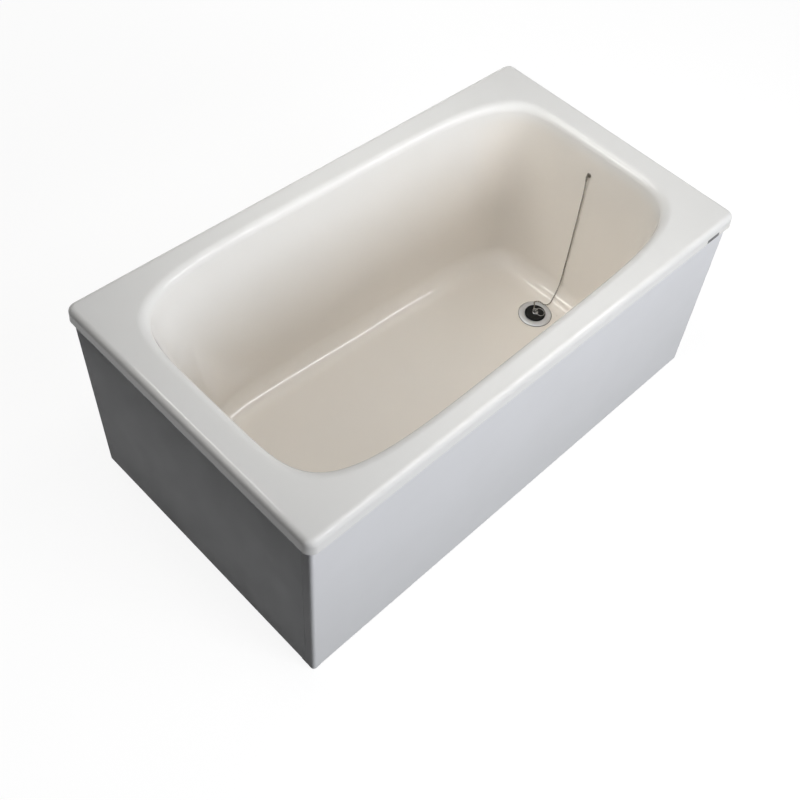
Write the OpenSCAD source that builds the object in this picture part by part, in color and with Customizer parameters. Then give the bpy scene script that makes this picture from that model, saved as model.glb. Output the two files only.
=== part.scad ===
// Soaking tub: a one-piece moulded basin with a broad rim and two side panels,
// a drain with a rubber plug on a ball chain, and the boards, feet, rails and
// straps that carry it. Origin: centre of the rim outline, at floor level.
// +X runs to the drain end, -Y is the long panelled side, +Z is up.

/* [Rim] */
// Length over the flared lip
rim_len = 1311; // [1250:1:1500]
// Width over the flared lip
rim_wid = 743; // [720:1:800]
// Height of the rim above the floor
rim_h = 550; // [520:5:640]
// Height of the lip that hangs from the rim
lip_h = 35; // [33:1:46]
// How far the lip's lower edge stands out past its upper edge
lip_flare = 1.5; // [0.8:0.1:3]
// Radius along the rim's outer edge
rim_edge_r = 14.5; // [11:0.5:16]
// Radius of the rim's corners in plan
rim_corner_r = 22; // [19:1:25]
// Width of the flat rim at the sloped head end
rim_head_w = 57; // [52:0.5:66]
// Width of the flat rim at the drain end
rim_foot_w = 61.5; // [56:0.5:71]
// Width of the flat rim on the panelled side
rim_front_w = 46; // [45:0.5:55]
// Width of the flat rim on the wall side
rim_back_w = 50; // [49:0.5:60]

/* [Basin] */
// Thickness of the moulded shell
shell_t = 5; // [4:0.1:5.4]
// Radius where the flat rim rolls down into the basin
roll_r = 22; // [16:0.5:26]
// Radius between the walls and the basin floor
cove_r = 60; // [45:1:65]
// Height of the basin floor at the drain
floor_z = 50; // [48:0.5:60]
// Rise of the floor for each millimetre away from the drain
floor_fall = 0.006; // [0:0.001:0.008]
// How far the sloped head end leans in from rim to floor
head_lean = 127; // [110:1:135]
// How far the drain end leans in from rim to floor
foot_lean = 63.5; // [55:0.5:70]
// How far each long side leans in from rim to floor
side_lean = 74; // [66:0.5:80]
// Narrowing of the opening's half width for each millimetre towards the drain
rim_taper = 0.018; // [0:0.001:0.025]
// The same narrowing at the floor
floor_taper = 0.045; // [0:0.001:0.05]
// Squareness of the opening's ends (2 is an ellipse)
open_end_square = 4.9; // [4:0.1:6]
// Squareness of the opening's long sides
open_side_square = 5.6; // [4:0.1:6.5]
// Squareness of the floor outline
floor_square = 7; // [5:0.1:8]

/* [Panels] */
// Distance from the lip's lower edge in to a panel's face
panel_inset = 12.5; // [11:0.1:14]
// Thickness of a panel
panel_t = 3; // [2:0.1:3.5]
// Outer radius of the upright corner between the panels
panel_corner_r = 8; // [6:0.5:12]
// Gap between the panels and the floor
panel_gap = 2; // [1.5:0.1:4]
// Height of the panels' upper edge below the rim surface
panel_drop = 25; // [24:0.5:28]
// Depth of the turned-in upper edge
top_flange = 14; // [12:0.5:16]
// Depth of the turned-in lower edge
base_flange = 20; // [18:0.5:24]
// Distance from the lip's end to the front panel's free end
front_end_gap = 11; // [8:0.1:14]
// Distance from the lip's end to the end panel's free end
side_end_gap = 8; // [5:0.1:12]
// Length of the front panel's return round the corner
corner_return = 25; // [20:1:35]
// Length of the small plate on the lip
plate_len = 46; // [30:1:60]
// Height of the small plate on the lip
plate_h = 11; // [8:0.5:13]
// Distance from the lip's drain end to the plate's middle
plate_from_end = 87; // [60:1:130]

/* [Support] */
// Thickness of the boards under the rim
rim_board_t = 12; // [9:0.5:15]
// Width of the boards under the rim
rim_board_w = 22; // [18:0.5:23]
// Thickness of the board under the basin floor
base_board_t = 9; // [6:0.5:10]
// Length of the board under the basin floor
base_board_len = 780; // [720:5:790]
// Width of the board under the basin floor
base_board_wid = 370; // [340:5:376]
// Radius of a foot
foot_r = 32; // [26:0.5:36]
// Thickness of a foot's rubber pad
pad_t = 6; // [4:0.5:8]
// Thickness of the hook rails and straps
metal_t = 2; // [1.5:0.1:2.5]
// Width of a strap
strap_w = 30; // [24:1:36]

/* [Drain] */
// Distance from the rim's drain end to the middle of the drain
drain_from_end = 223.5; // [219:0.5:229]
// Place of the drain across the basin
drain_y = -20; // [-30:1:10]
// Outer radius of the drain flange
flange_r = 45; // [42:0.5:48]
// Thickness of the drain flange
flange_t = 2.4; // [2:0.1:3]
// Outer radius of the drain's threaded tail
tail_r = 29; // [28.6:0.1:30]
// Outer radius of the plain spigot below the thread
spigot_r = 28; // [26:0.1:28.4]
// Length of the spigot that a waste hose slides over
spigot_len = 20; // [14:0.5:21]
// Radius of the outlet below the ledge
outlet_r = 22; // [20:0.1:23]
// Height of the tail's lower end above the floor
tail_end_z = 8; // [6:0.5:12]
// Thickness of the gaskets
gasket_t = 1.2; // [1:0.1:1.5]
// Height of the lock nut
nut_h = 10; // [8:0.5:11]
// Radius of the lock nut
nut_r = 38; // [36:0.5:40]

/* [Plug] */
// Radius of the plug's lower end
plug_low_r = 25; // [24.5:0.05:25]
// Height of the rubber plug
plug_h = 24; // [20:0.5:25]
// Widening of the plug's radius for each millimetre of height
plug_cone = 0.14; // [0.1:0.005:0.15]
// Running clearance between plug and seat
plug_fit = 0.08; // [0.05:0.01:0.1]
// How far the plug's lower end hangs below the flange face
plug_depth = 19.5; // [18:0.5:20]
// Ring radius of the eye on the plug, at its wire's middle
eye_r = 4.6; // [4.3:0.1:5]
// Wire radius of that eye
eye_wire_r = 1.3; // [1.1:0.1:1.4]
// Radius of the pull ring, at its wire's middle
pull_r = 12.5; // [11.5:0.5:14]
// Wire radius of the pull ring
pull_wire_r = 1; // [0.8:0.1:1.1]
// Height of the eye's neck above its disc
eye_neck = 2.5; // [1:0.1:3]
// Turn of the eye about the plug's middle
eye_turn = 35; // [20:1:50]
// Dip of the link that joins the eye to the chain
link_dip = 25; // [15:1:30]

/* [Chain] */
// Radius of the chain's balls
chain_r = 2; // [1.6:0.1:2]
// Height of the wall anchor above the floor
anchor_z = 464; // [460:0.5:470]
// Place of the wall anchor across the basin
anchor_y = -3; // [-5:0.5:-1]
// Radius of the anchor's rosette
rosette_r = 6.5; // [5.5:0.1:8]
// Ring radius of the small links, at their wire's middle
link_r = 3; // [2.8:0.1:3.2]
// Wire radius of the small links
link_wire_r = 0.8; // [0.7:0.05:0.9]

/* [Hidden] */

// Facets: points round the basin outline, and for round metal parts
ring_n = 72;
round_n = 64;
small_n = 32;
chain_sides = 8;

// Clearances: between parts laid side by side, in screw holes, and round a link
lay_gap = 0.5;
hole_fit = 0.1;
link_fit = 0.1;
seat_gap = 0.25;

// Drain's place along the tub
drain_x = rim_len / 2 - drain_from_end;

// Rim outline at its upper edge
top_hx = rim_len / 2 - lip_flare;
top_hy = rim_wid / 2 - lip_flare;
lip_z = rim_h - lip_h;

// Opening outline where the flat rim ends
open_head = top_hx - rim_head_w;
open_foot = top_hx - rim_foot_w;
open_half = top_hy - (rim_front_w + rim_back_w) / 2;
open_y = (rim_front_w - rim_back_w) / 2;

// Outline in which walls and floor would meet without the cove
floor_head = open_head - head_lean;
floor_foot = open_foot - foot_lean;
floor_half = open_half - side_lean;

// Steps along each rounded stretch of the shell's profile
edge_steps = 4;
roll_steps = 6;
wall_steps = 4;
cove_steps = 7;

function squared(c, e) = sign(c) * pow(abs(c), 2 / e);

// Point of a squared oval at angle t, grown outwards by g
function oval(t, head, foot, half, taper, ex, ey, g) =
    let (reach = (head + foot) / 2 + g, middle = (foot - head) / 2)
    let (x = middle + reach * squared(cos(t), ex))
    [x, open_y + (half + g - taper * x) * squared(sin(t), ey)];

function open_pt(t, g) =
    oval(t, open_head, open_foot, open_half, rim_taper, open_end_square, open_side_square, g);
function floor_pt(t, g) =
    oval(t, floor_head, floor_foot, floor_half, floor_taper, floor_square, floor_square, g);

// Lean of the wall at angle t: the roll takes up the first part of the step inwards
function wall_run(t) = norm(open_pt(t, 0) - floor_pt(t, 0)) - 0.9 * roll_r;
function lean(t) = atan(wall_run(t) / (rim_h - floor_z));
function floor_at(x) = floor_z + floor_fall * (drain_x - x);

// Points of the shell's profile; off is 0 on the face and shell_t behind it
function rim_pt(t, grow, z) =
    [sign(cos(t)) * (top_hx - rim_corner_r) + (rim_corner_r + grow) * cos(t),
     sign(sin(t)) * (top_hy - rim_corner_r) + (rim_corner_r + grow) * sin(t), z];
function edge_pt(t, a, off) =
    rim_pt(t, (rim_edge_r - off) * cos(a) - rim_edge_r, rim_h - rim_edge_r + (rim_edge_r - off) * sin(a));
function roll_pt(t, s, off) =
    let (a = s * (90 - lean(t)), p = open_pt(t, -(roll_r - off) * sin(a)))
    [p.x, p.y, rim_h - roll_r + (roll_r - off) * cos(a)];
function cove_pt(t, s, off) =
    let (d = lean(t), a = d + s * (90 - d))
    let (inset = cove_r * (1 - sin(d)) / cos(d) - (cove_r + off) * cos(a), p = floor_pt(t, -inset))
    [p.x, p.y, floor_at(p.x) + cove_r - (cove_r + off) * sin(a)];

function ring_t(j) = (j + 0.5) * 360 / ring_n;
function rings(off) = concat(
    [[for (j = [0:ring_n - 1]) rim_pt(ring_t(j), lip_flare - off, lip_z)]],
    [for (i = [0:edge_steps]) [for (j = [0:ring_n - 1]) edge_pt(ring_t(j), 90 * i / edge_steps, off)]],
    [for (i = [0:roll_steps]) [for (j = [0:ring_n - 1]) roll_pt(ring_t(j), i / roll_steps, off)]],
    [for (i = [1:wall_steps - 1]) [for (j = [0:ring_n - 1])
        let (s = i / wall_steps) (1 - s) * roll_pt(ring_t(j), 1, off) + s * cove_pt(ring_t(j), 0, off)]],
    [for (i = [0:cove_steps]) [for (j = [0:ring_n - 1]) cove_pt(ring_t(j), i / cove_steps, off)]]);
ring_count = 1 + (edge_steps + 1) + (roll_steps + 1) + (wall_steps - 1) + (cove_steps + 1);

// The drain end's wall at the anchor: a straight line from roll to cove
wall_top = roll_pt(ring_t(0), 1, 0);
wall_low = cove_pt(ring_t(0), 0, 0);
wall_tilt = atan((wall_top.x - wall_low.x) / (wall_top.z - wall_low.z));
function foot_wall_x(z) = wall_low.x + (z - wall_low.z) * tan(wall_tilt);

// Panels
panel_x = -(rim_len / 2 - panel_inset);
panel_y = -(rim_wid / 2 - panel_inset);
panel_top = rim_h - panel_drop;
front_end_x = rim_len / 2 - front_end_gap;
side_end_y = rim_wid / 2 - side_end_gap;
return_y = panel_y + corner_return;
notch_x = top_hx - rim_corner_r;
notch_y = top_hy - rim_corner_r;
flange_short = 12;
joint_plate_w = 20;
joint_plate_short = 4;

// Boards under the rim: their square corners stay inside the rim's rounded, rolled corners
board_in = rim_corner_r - (rim_corner_r - rim_edge_r) * cos(45) + lay_gap;
board_out_x = top_hx - board_in;
board_out_y = top_hy - board_in;
board_z = rim_h - shell_t - rim_board_t;

// Hook rails: an upper leg under the board, a web, and a hook that carries the panel's edge
hook_in = 1.5;
hook_reach = 7;
hook_rest = 0.3;
rail_leg = 12;
rail_screw_r = 1.8;
rail_head_r = 3.6;
rail_head_h = 2.4;
rail_screw_len = 10;
rail_short = 30;
front_rail_from = panel_x + 2 * rail_short;
front_rail_to = front_end_x - rail_short;
end_rail_from = return_y + rail_short;
end_rail_to = side_end_y - rail_short;

// Board and feet under the floor
tilt = atan(floor_fall);
board_to_drain = 15;
base_head_x = drain_x - flange_r - board_to_drain - base_board_len;
foot_from_head = 80;
foot_from_drain = 75;
foot_from_side = 3;
foot_xs = [base_head_x + foot_from_head, base_head_x + base_board_len - foot_from_drain];
foot_y = base_board_wid / 2 - foot_r - foot_from_side;
foot_wall = 4;
foot_taper = 2;
pad_r = foot_r - foot_wall;
pad_sunk = 3;
pad_groove = 2;

// Straps from the base board to the panels' lower edges
strap_t = 3;
strap_hold = 45;
strap_from_foot = foot_r + 40;
front_strap_xs = [foot_xs[0] + strap_from_foot, (foot_xs[0] + foot_xs[1]) / 2,
    foot_xs[1] - strap_from_foot];
end_strap_ys = [-110, 110];
strap_foot = 15;
strap_screw_r = 2;
strap_screw_cone = 2;
bolt_head_r = 5;
bolt_head_h = 3;

// Blank plate, let into the sloping face of the lip
lip_slope = atan(lip_flare / (lip_h - rim_edge_r));
plate_t = 0.8;
plate_x = rim_len / 2 - plate_from_end;
plate_up = 1.5;

// Drain stack
spot_top = floor_at(drain_x + flange_r + 2);
spot_low = floor_at(drain_x - nut_r - 3) - shell_t;
flange_under = spot_top + gasket_t;
flange_top = flange_under + flange_t;
flange_bevel = 4;
gasket_out = 0.9;
gasket_low_t = 2 * gasket_t;
washer_t = 1.5;
nut_top = spot_low - gasket_low_t - washer_t;
ledge_z = 21;
strainer_t = 1.6;

// Plug
plug_z = flange_top - plug_depth;
plug_top_z = plug_z + plug_h;
plug_high_r = plug_low_r + plug_cone * plug_h;
plug_edge_r = 1.5;
plug_web = 8;
plug_skirt = 6;
stud_r = 2.5;
stud_disc_r = 8;
stud_disc_t = 1.5;
eye_z = plug_top_z + stud_disc_t + eye_neck + eye_r;
plug_nut_h = 4;
plug_nut_r = 5.5;
plug_washer_r = 9;
pull_axis_z = eye_z - eye_r + eye_wire_r + pull_wire_r + seat_gap;
pull_drop = asin((pull_axis_z - plug_top_z - pull_wire_r - seat_gap) / (2 * pull_r));

// Links: the plug's link hangs from the far side of the eye and dips towards the chain
ferrule_r = 2.4;
ferrule_len = 7;
link_len = link_r + ferrule_len;
link_off = eye_r - eye_wire_r - link_wire_r - link_fit + link_r;
plug_link_at = [drain_x - link_off * sin(eye_turn), drain_y + link_off * cos(eye_turn), eye_z];
link_way = [cos(link_dip) * cos(eye_turn), cos(link_dip) * sin(eye_turn), -sin(link_dip)];

// Wall anchor
anchor_x = foot_wall_x(anchor_z);
rosette_t = 2.5;
anchor_stem_r = 2.5;
anchor_neck = 1.6;
anchor_eye_r = 3.6;
anchor_eye_wire = 1.1;
anchor_seal_t = 1;
anchor_nut_r = 6;
anchor_nut_h = 5;
anchor_eye = [anchor_x, anchor_y, anchor_z]
    + (rosette_t + anchor_neck + anchor_eye_r) * [-cos(wall_tilt), 0, sin(wall_tilt)];
anchor_link_z = anchor_eye.z - anchor_eye_r + anchor_eye_wire + link_wire_r + link_fit - link_r;
chain_from_z = anchor_link_z - link_r - ferrule_len;

// Route of the ball chain from the anchor's link to the plug's link, millimetres.
// The marks between its ends are measured from the rim's drain end.
chain_marks = [
    [-98.5, -4, 435], [-100.5, -6, 400], [-103, -7, 360], [-106, -9, 320], [-109.5, -10, 280],
    [-113, -12, 240], [-116, -13, 200], [-119.5, -14, 160], [-122.5, -15, 130], [-126.5, -16, 104],
    [-133.5, -17, 84], [-142.5, -18, 69], [-153.5, -20, 60], [-162, -22.5, 56], [-171.5, -23, 55],
    [-178.5, -20.5, 55.5], [-182.5, -14, 55.7], [-182.5, -6, 55.7], [-185, 1.5, 55.7],
    [-191, 6.3, 56], [-198, 6.7, 57.4], [-203.5, 2.5, 59.6], [-208.2, -2.8, 60.8]];
chain_end_gap = 0.3;
chain_over_plug = 0.9;
chain_route = concat(
    [[anchor_eye.x, anchor_eye.y, chain_from_z - chain_end_gap]],
    [for (p = chain_marks) p + [rim_len / 2, 0, 0]],
    [plug_link_at + (link_len + 6) * link_way + [0, 0, chain_over_plug],
     plug_link_at + (link_len + chain_end_gap) * link_way]);
chain_steps = 3;
// A direction that the chain never runs along, from which its facets are counted
tube_side = [-5, 5, -7];

// Smooth curve through a list of points, with n steps between two of them
function spline_pt(p, i, s) =
    let (a = p[max(i - 1, 0)], b = p[i], c = p[i + 1], d = p[min(i + 2, len(p) - 1)])
    0.5 * (2 * b + s * (c - a) + s * s * (2 * a - 5 * b + 4 * c - d) + s * s * s * (3 * b - a - 3 * c + d));
function spline(p, n) =
    concat([for (i = [0:len(p) - 2]) for (k = [0:n - 1]) spline_pt(p, i, k / n)], [p[len(p) - 1]]);
function unit(v) = v / norm(v);
function tangent(p, i) = unit(p[min(i + 1, len(p) - 1)] - p[max(i - 1, 0)]);

// A round tube with flat ends, swept along a smooth list of points
module tube(p, r, sides) {
    pts = [for (i = [0:len(p) - 1]) let (t = tangent(p, i), u = unit(cross(t, tube_side)), v = cross(t, u))
        for (k = [0:sides - 1]) p[i] + r * (cos(360 * k / sides) * u + sin(360 * k / sides) * v)];
    walls = [for (i = [0:len(p) - 2]) for (k = [0:sides - 1])
        let (a = i * sides + k, b = i * sides + (k + 1) % sides)
        each [[a, a + sides, b], [b, a + sides, b + sides]]];
    first = [for (k = [0:sides - 1]) k];
    last = [for (k = [sides - 1:-1:0]) (len(p) - 1) * sides + k];
    polyhedron(pts, concat(walls, [first], [last]));
}

module ring(r, wire) {
    rotate_extrude($fn = small_n * 2)
        translate([r, 0])
            circle(wire, $fn = small_n);
}

module pipe(ro, ri, h) {
    difference() {
        cylinder(r = ro, h = h, $fn = round_n);
        translate([0, 0, -1])
            cylinder(r = ri, h = h + 2, $fn = round_n);
    }
}

// Places its children in the plane of the sloping floor, level with the shell's underside
module under_floor() {
    translate([drain_x, 0, floor_z - shell_t])
        rotate([0, tilt, 0])
            translate([-drain_x, 0, 0])
                children();
}

// Places its children at the anchor, with +Z pointing out of the wall into the basin
module at_anchor() {
    translate([anchor_x, anchor_y, anchor_z])
        rotate([0, -90 + wall_tilt, 0])
            children();
}

// Places its children on the face of the front lip, at its lower edge; +Z points out of the face
module on_front_lip() {
    translate([0, -rim_wid / 2, lip_z])
        rotate([90 - lip_slope, 0, 0])
            children();
}

module shell_body() {
    face = rings(0);
    back = rings(shell_t);
    pts = concat([for (ring = face) each ring], [for (ring = back) each ring]);
    half = ring_count * ring_n;
    strips = [for (i = [0:ring_count - 2]) for (j = [0:ring_n - 1])
        let (a = i * ring_n + j, b = i * ring_n + (j + 1) % ring_n)
        each [[a, a + ring_n, b], [b, a + ring_n, b + ring_n],
            [half + a, half + b, half + a + ring_n], [half + b, half + b + ring_n, half + a + ring_n]]];
    foot_edge = [for (j = [0:ring_n - 1]) let (k = (j + 1) % ring_n)
        each [[j, k, half + j], [k, half + k, half + j]]];
    floor_cap = [for (j = [ring_n - 1:-1:0]) (ring_count - 1) * ring_n + j];
    under_cap = [for (j = [0:ring_n - 1]) half + (ring_count - 1) * ring_n + j];
    polyhedron(pts, concat(strips, foot_edge, [floor_cap], [under_cap]));
}

module tub_shell() {
    color("whitesmoke")
        difference() {
            shell_body();
            translate([drain_x, drain_y, floor_z - shell_t - cove_r])
                cylinder(r = tail_r + lay_gap, h = 2 * cove_r, $fn = round_n);
            translate([drain_x, drain_y, spot_top])
                cylinder(r = flange_r + gasket_out + 1, h = shell_t, $fn = round_n);
            translate([drain_x, drain_y, spot_low - shell_t])
                cylinder(r = nut_r + 2, h = shell_t, $fn = round_n);
            at_anchor()
                translate([0, 0, -2 * shell_t])
                    cylinder(r = anchor_stem_r + hole_fit, h = 4 * shell_t, $fn = small_n);
            on_front_lip()
                translate([plate_x - plate_len / 2, plate_up, -plate_t])
                    cube([plate_len, plate_h, 2 * plate_t]);
        }
}

// A board under the rim, with pilot holes where a hook rail is screwed to it
module rim_board(x0, x1, y0, y1, holes) {
    color("burlywood")
        difference() {
            translate([x0, y0, board_z])
                cube([x1 - x0, y1 - y0, rim_board_t]);
            for (p = holes)
                translate([p.x, p.y, board_z - 1])
                    cylinder(r = rail_screw_r + hole_fit, h = rail_screw_len + 1, $fn = small_n);
        }
}

hook_x = panel_x + top_flange + hook_in;
hook_y = panel_y + top_flange + hook_in;
front_rail_holes = [for (s = [0.08, 0.36, 0.64, 0.92])
    [front_rail_from + s * (front_rail_to - front_rail_from), hook_y + metal_t + rail_leg / 2 - 1]];
end_rail_holes = [for (s = [0.12, 0.5, 0.88])
    [hook_x + metal_t + rail_leg / 2 - 1, end_rail_from + s * (end_rail_to - end_rail_from)]];

module rim_board_front() {
    rim_board(-board_out_x, board_out_x, -board_out_y, -board_out_y + rim_board_w, front_rail_holes);
}

module rim_board_back() {
    rim_board(-board_out_x, board_out_x, board_out_y - rim_board_w, board_out_y, []);
}

module rim_board_head() {
    rim_board(-board_out_x, -board_out_x + rim_board_w, -board_out_y + rim_board_w + lay_gap,
        board_out_y - rim_board_w - lay_gap, end_rail_holes);
}

module rim_board_foot() {
    rim_board(board_out_x - rim_board_w, board_out_x, -board_out_y + rim_board_w + lay_gap,
        board_out_y - rim_board_w - lay_gap, []);
}

module base_board() {
    color("burlywood")
        difference() {
            under_floor()
                translate([base_head_x, -base_board_wid / 2, -base_board_t])
                    cube([base_board_len, base_board_wid, base_board_t]);
            strap_bolts(strap_screw_r + hole_fit, base_board_t + strap_t, 0);
        }
}

// Moulded foot: a tapered block cut off along the base board's underside
module foot(i) {
    at = [foot_xs[i % 2], (i < 2 ? -1 : 1) * foot_y];
    high = floor_z + floor_fall * rim_len;
    color("dimgray")
        difference() {
            translate([at.x, at.y, pad_t - pad_sunk])
                cylinder(r1 = foot_r, r2 = foot_r - foot_taper, h = high, $fn = round_n);
            under_floor()
                translate([base_head_x, -rim_wid / 2, -base_board_t])
                    cube([base_board_len, rim_wid, high]);
            translate([at.x, at.y, -1])
                cylinder(r = pad_r, h = pad_t + 1, $fn = round_n);
        }
}

// Rubber pad let into the underside of a foot
module foot_pad(i) {
    at = [foot_xs[i % 2], (i < 2 ? -1 : 1) * foot_y];
    color("#222222")
        translate([at.x, at.y, 0])
            difference() {
                cylinder(r = pad_r, h = pad_t, $fn = round_n);
                for (s = [1:2])
                    translate([0, 0, -pad_groove / 2])
                        pipe(s * pad_r / 3 + pad_groove / 2, s * pad_r / 3 - pad_groove / 2, pad_groove);
            }
}

// Plan outline of the front panel's skin: straight, round the corner and a short return
module front_plan(grow) {
    r = panel_corner_r - grow;
    translate([panel_x + grow + r, panel_y + grow])
        square([front_end_x - panel_x - grow - r, panel_t - grow + r]);
    translate([panel_x + grow, panel_y + grow + r])
        square([panel_t - grow + r, return_y - panel_y - grow - r]);
    translate([panel_x + grow + r, panel_y + grow + r])
        circle(r, $fn = round_n);
}

module front_panel() {
    skin_h = panel_top - panel_gap;
    flange_from = panel_x + panel_corner_r + flange_short;
    color("whitesmoke")
        difference() {
            union() {
                translate([0, 0, panel_gap])
                    linear_extrude(skin_h)
                        intersection() {
                            difference() {
                                front_plan(0);
                                translate([panel_x + panel_corner_r, panel_y + panel_t])
                                    square([rim_len, corner_return]);
                                translate([panel_x + panel_t, panel_y + panel_corner_r])
                                    square([rim_len, corner_return]);
                                translate([panel_x + panel_corner_r, panel_y + panel_corner_r])
                                    circle(panel_corner_r - panel_t, $fn = round_n);
                            }
                            translate([panel_x, panel_y])
                                square([rim_len, corner_return]);
                        }
                translate([flange_from, panel_y + panel_t / 2, panel_top - panel_t])
                    cube([front_end_x - flange_from, top_flange - panel_t / 2, panel_t]);
                translate([flange_from, panel_y + panel_t / 2, panel_gap])
                    cube([front_end_x - flange_from, base_flange - panel_t / 2, panel_t]);
            }
            panel_screw_set(hole_fit);
            translate([notch_x, panel_y - 1, lip_z - lay_gap])
                cube([rim_len, top_flange + 2, rim_h]);
        }
}

// Skin with its two flanges; the end under the lip is notched to pass it, as the front panel's is
module end_panel() {
    y0 = return_y + lay_gap;
    color("whitesmoke")
        difference() {
            union() {
                translate([panel_x, y0, panel_gap])
                    cube([panel_t, side_end_y - y0, panel_top - panel_gap]);
                translate([panel_x + panel_t / 2, y0 + flange_short, panel_top - panel_t])
                    cube([top_flange - panel_t / 2, side_end_y - y0 - flange_short, panel_t]);
                translate([panel_x + panel_t / 2, y0 + flange_short, panel_gap])
                    cube([base_flange - panel_t / 2, side_end_y - y0 - flange_short, panel_t]);
            }
            panel_screw_set(hole_fit);
            translate([panel_x - 1, notch_y, lip_z - lay_gap])
                cube([top_flange + 2, rim_wid, rim_h]);
        }
}

// Flat bar behind the joint of the two panels
module corner_plate() {
    color("silver")
        translate([panel_x + panel_t, return_y - joint_plate_w / 2, panel_gap + panel_t + joint_plate_short])
            cube([metal_t, joint_plate_w, panel_top - panel_gap - 2 * (panel_t + joint_plate_short)]);
}

// Section of a hook rail: leg under the board, web and hook; the hook points to -X of the section
module hook_section() {
    under_flange = panel_top - panel_t - hook_rest;
    translate([0, board_z - metal_t])
        square([rail_leg, metal_t]);
    translate([0, under_flange - metal_t])
        square([metal_t, board_z - under_flange + metal_t]);
    translate([-hook_reach, under_flange - metal_t])
        square([hook_reach + metal_t, metal_t]);
}

module front_rail() {
    color("silver")
        difference() {
            translate([front_rail_from, hook_y, 0])
                rotate([90, 0, 90])
                    linear_extrude(front_rail_to - front_rail_from)
                        hook_section();
            rail_holes(front_rail_holes);
        }
}

module end_rail() {
    color("silver")
        difference() {
            translate([hook_x, end_rail_to, 0])
                rotate([90, 0, 0])
                    linear_extrude(end_rail_to - end_rail_from)
                        hook_section();
            rail_holes(end_rail_holes);
        }
}

module rail_holes(at) {
    for (p = at)
        translate([p.x, p.y, board_z - metal_t - 1])
            cylinder(r = rail_screw_r + hole_fit, h = metal_t + 2, $fn = small_n);
}

module rail_screws() {
    color("silver")
        for (p = concat(front_rail_holes, end_rail_holes))
            translate([p.x, p.y, board_z - metal_t - rail_head_h]) {
                cylinder(r1 = rail_head_r - 1, r2 = rail_head_r, h = rail_head_h, $fn = small_n);
                cylinder(r = rail_screw_r, h = rail_head_h + metal_t + rail_screw_len - 1, $fn = small_n);
            }
}

// Height of the base board's underside at x, level under the strap that is fixed there
function board_under(x) = floor_at(x) - shell_t - base_board_t / cos(tilt);

function strap_profile(from, to, x) =
    let (top_z = board_under(x), foot_z = panel_gap + panel_t)
    [[from, top_z - strap_t], [from, top_z], [to, top_z], [to, foot_z], [to + strap_foot, foot_z],
     [to + strap_foot, foot_z + strap_t], [to + strap_t, foot_z + strap_t], [to + strap_t, top_z - strap_t]];

front_strap_in = -base_board_wid / 2 + strap_hold;
front_strap_out = panel_y + panel_t + lay_gap;
end_strap_in = base_head_x + strap_hold;
end_strap_out = panel_x + panel_t + lay_gap;
function strap_low(x) = board_under(x + strap_w / 2);

module front_strap(i) {
    low_x = front_strap_xs[i] + strap_w / 2;
    color("silver")
        difference() {
            translate([low_x - strap_w, 0, 0])
                rotate([90, 0, 90])
                    linear_extrude(strap_w)
                        polygon(strap_profile(front_strap_in, front_strap_out, low_x));
            panel_screw_set(hole_fit);
            strap_bolts(strap_screw_r + hole_fit, base_board_t + strap_t, 0);
        }
}

module end_strap(i) {
    color("silver")
        difference() {
            translate([0, end_strap_ys[i] + strap_w / 2, 0])
                rotate([90, 0, 0])
                    linear_extrude(strap_w)
                        polygon(strap_profile(end_strap_in, end_strap_out, end_strap_in));
            panel_screw_set(hole_fit);
            strap_bolts(strap_screw_r + hole_fit, base_board_t + strap_t, 0);
        }
}

strap_bolt_at = concat(
    [for (x = front_strap_xs) [x, front_strap_in - strap_hold / 2, strap_low(x)]],
    [for (y = end_strap_ys) [end_strap_in - strap_hold / 2, y, board_under(end_strap_in)]]);
panel_screw_at = concat(
    [for (x = front_strap_xs) [x, front_strap_out + strap_t + (strap_foot - strap_t) / 2]],
    [for (y = end_strap_ys) [end_strap_out + strap_t + (strap_foot - strap_t) / 2, y]]);

// Upright screws that hold the straps to the base board
module strap_bolts(r, up, head) {
    for (p = strap_bolt_at)
        translate([p.x, p.y, p.z - strap_t]) {
            translate([0, 0, -1 + (head > 0 ? 1 : 0)])
                cylinder(r = r, h = up + 1, $fn = small_n);
            if (head > 0)
                translate([0, 0, -bolt_head_h])
                    cylinder(r = bolt_head_r, h = bolt_head_h, $fn = 6);
        }
}

module strap_screws() {
    color("silver")
        strap_bolts(strap_screw_r, strap_t + base_board_t - 2, 1);
}

// Countersunk screws up through the panels' lower edges into the straps' feet
module panel_screw_set(fit) {
    shank_r = strap_screw_r + fit;
    for (p = panel_screw_at)
        translate([p.x, p.y, panel_gap]) {
            cylinder(r1 = strap_screw_r + shank_r, r2 = shank_r, h = strap_screw_cone, $fn = small_n);
            cylinder(r = shank_r, h = panel_t + strap_t + (fit > 0 ? 1 : 3), $fn = small_n);
        }
}

module panel_screws() {
    color("silver")
        panel_screw_set(0);
}

module blank_plate() {
    color("slategray")
        on_front_lip()
            translate([plate_x - plate_len / 2 + 0.1, plate_up + 0.1, -plate_t])
                cube([plate_len - 0.2, plate_h - 0.2, plate_t]);
}

// Flange, conical seat and threaded tail in one turned piece
module drain_flange() {
    seat_low_r = plug_low_r + plug_fit;
    seat_r = seat_low_r + plug_cone * (flange_top - plug_z);
    bevel = 0.5;
    color("silver")
        translate([drain_x, drain_y, 0])
            rotate_extrude($fn = round_n)
                polygon([
                    [outlet_r, tail_end_z], [spigot_r, tail_end_z], [spigot_r, tail_end_z + spigot_len],
                    [tail_r, tail_end_z + spigot_len], [tail_r, flange_under],
                    [flange_r, flange_under], [flange_r, flange_under + flange_t / 3],
                    [flange_r - flange_bevel, flange_top], [seat_r + bevel, flange_top],
                    [seat_r - plug_cone * bevel, flange_top - bevel], [seat_low_r, plug_z],
                    [seat_low_r, ledge_z], [outlet_r, ledge_z]]);
}

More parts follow.
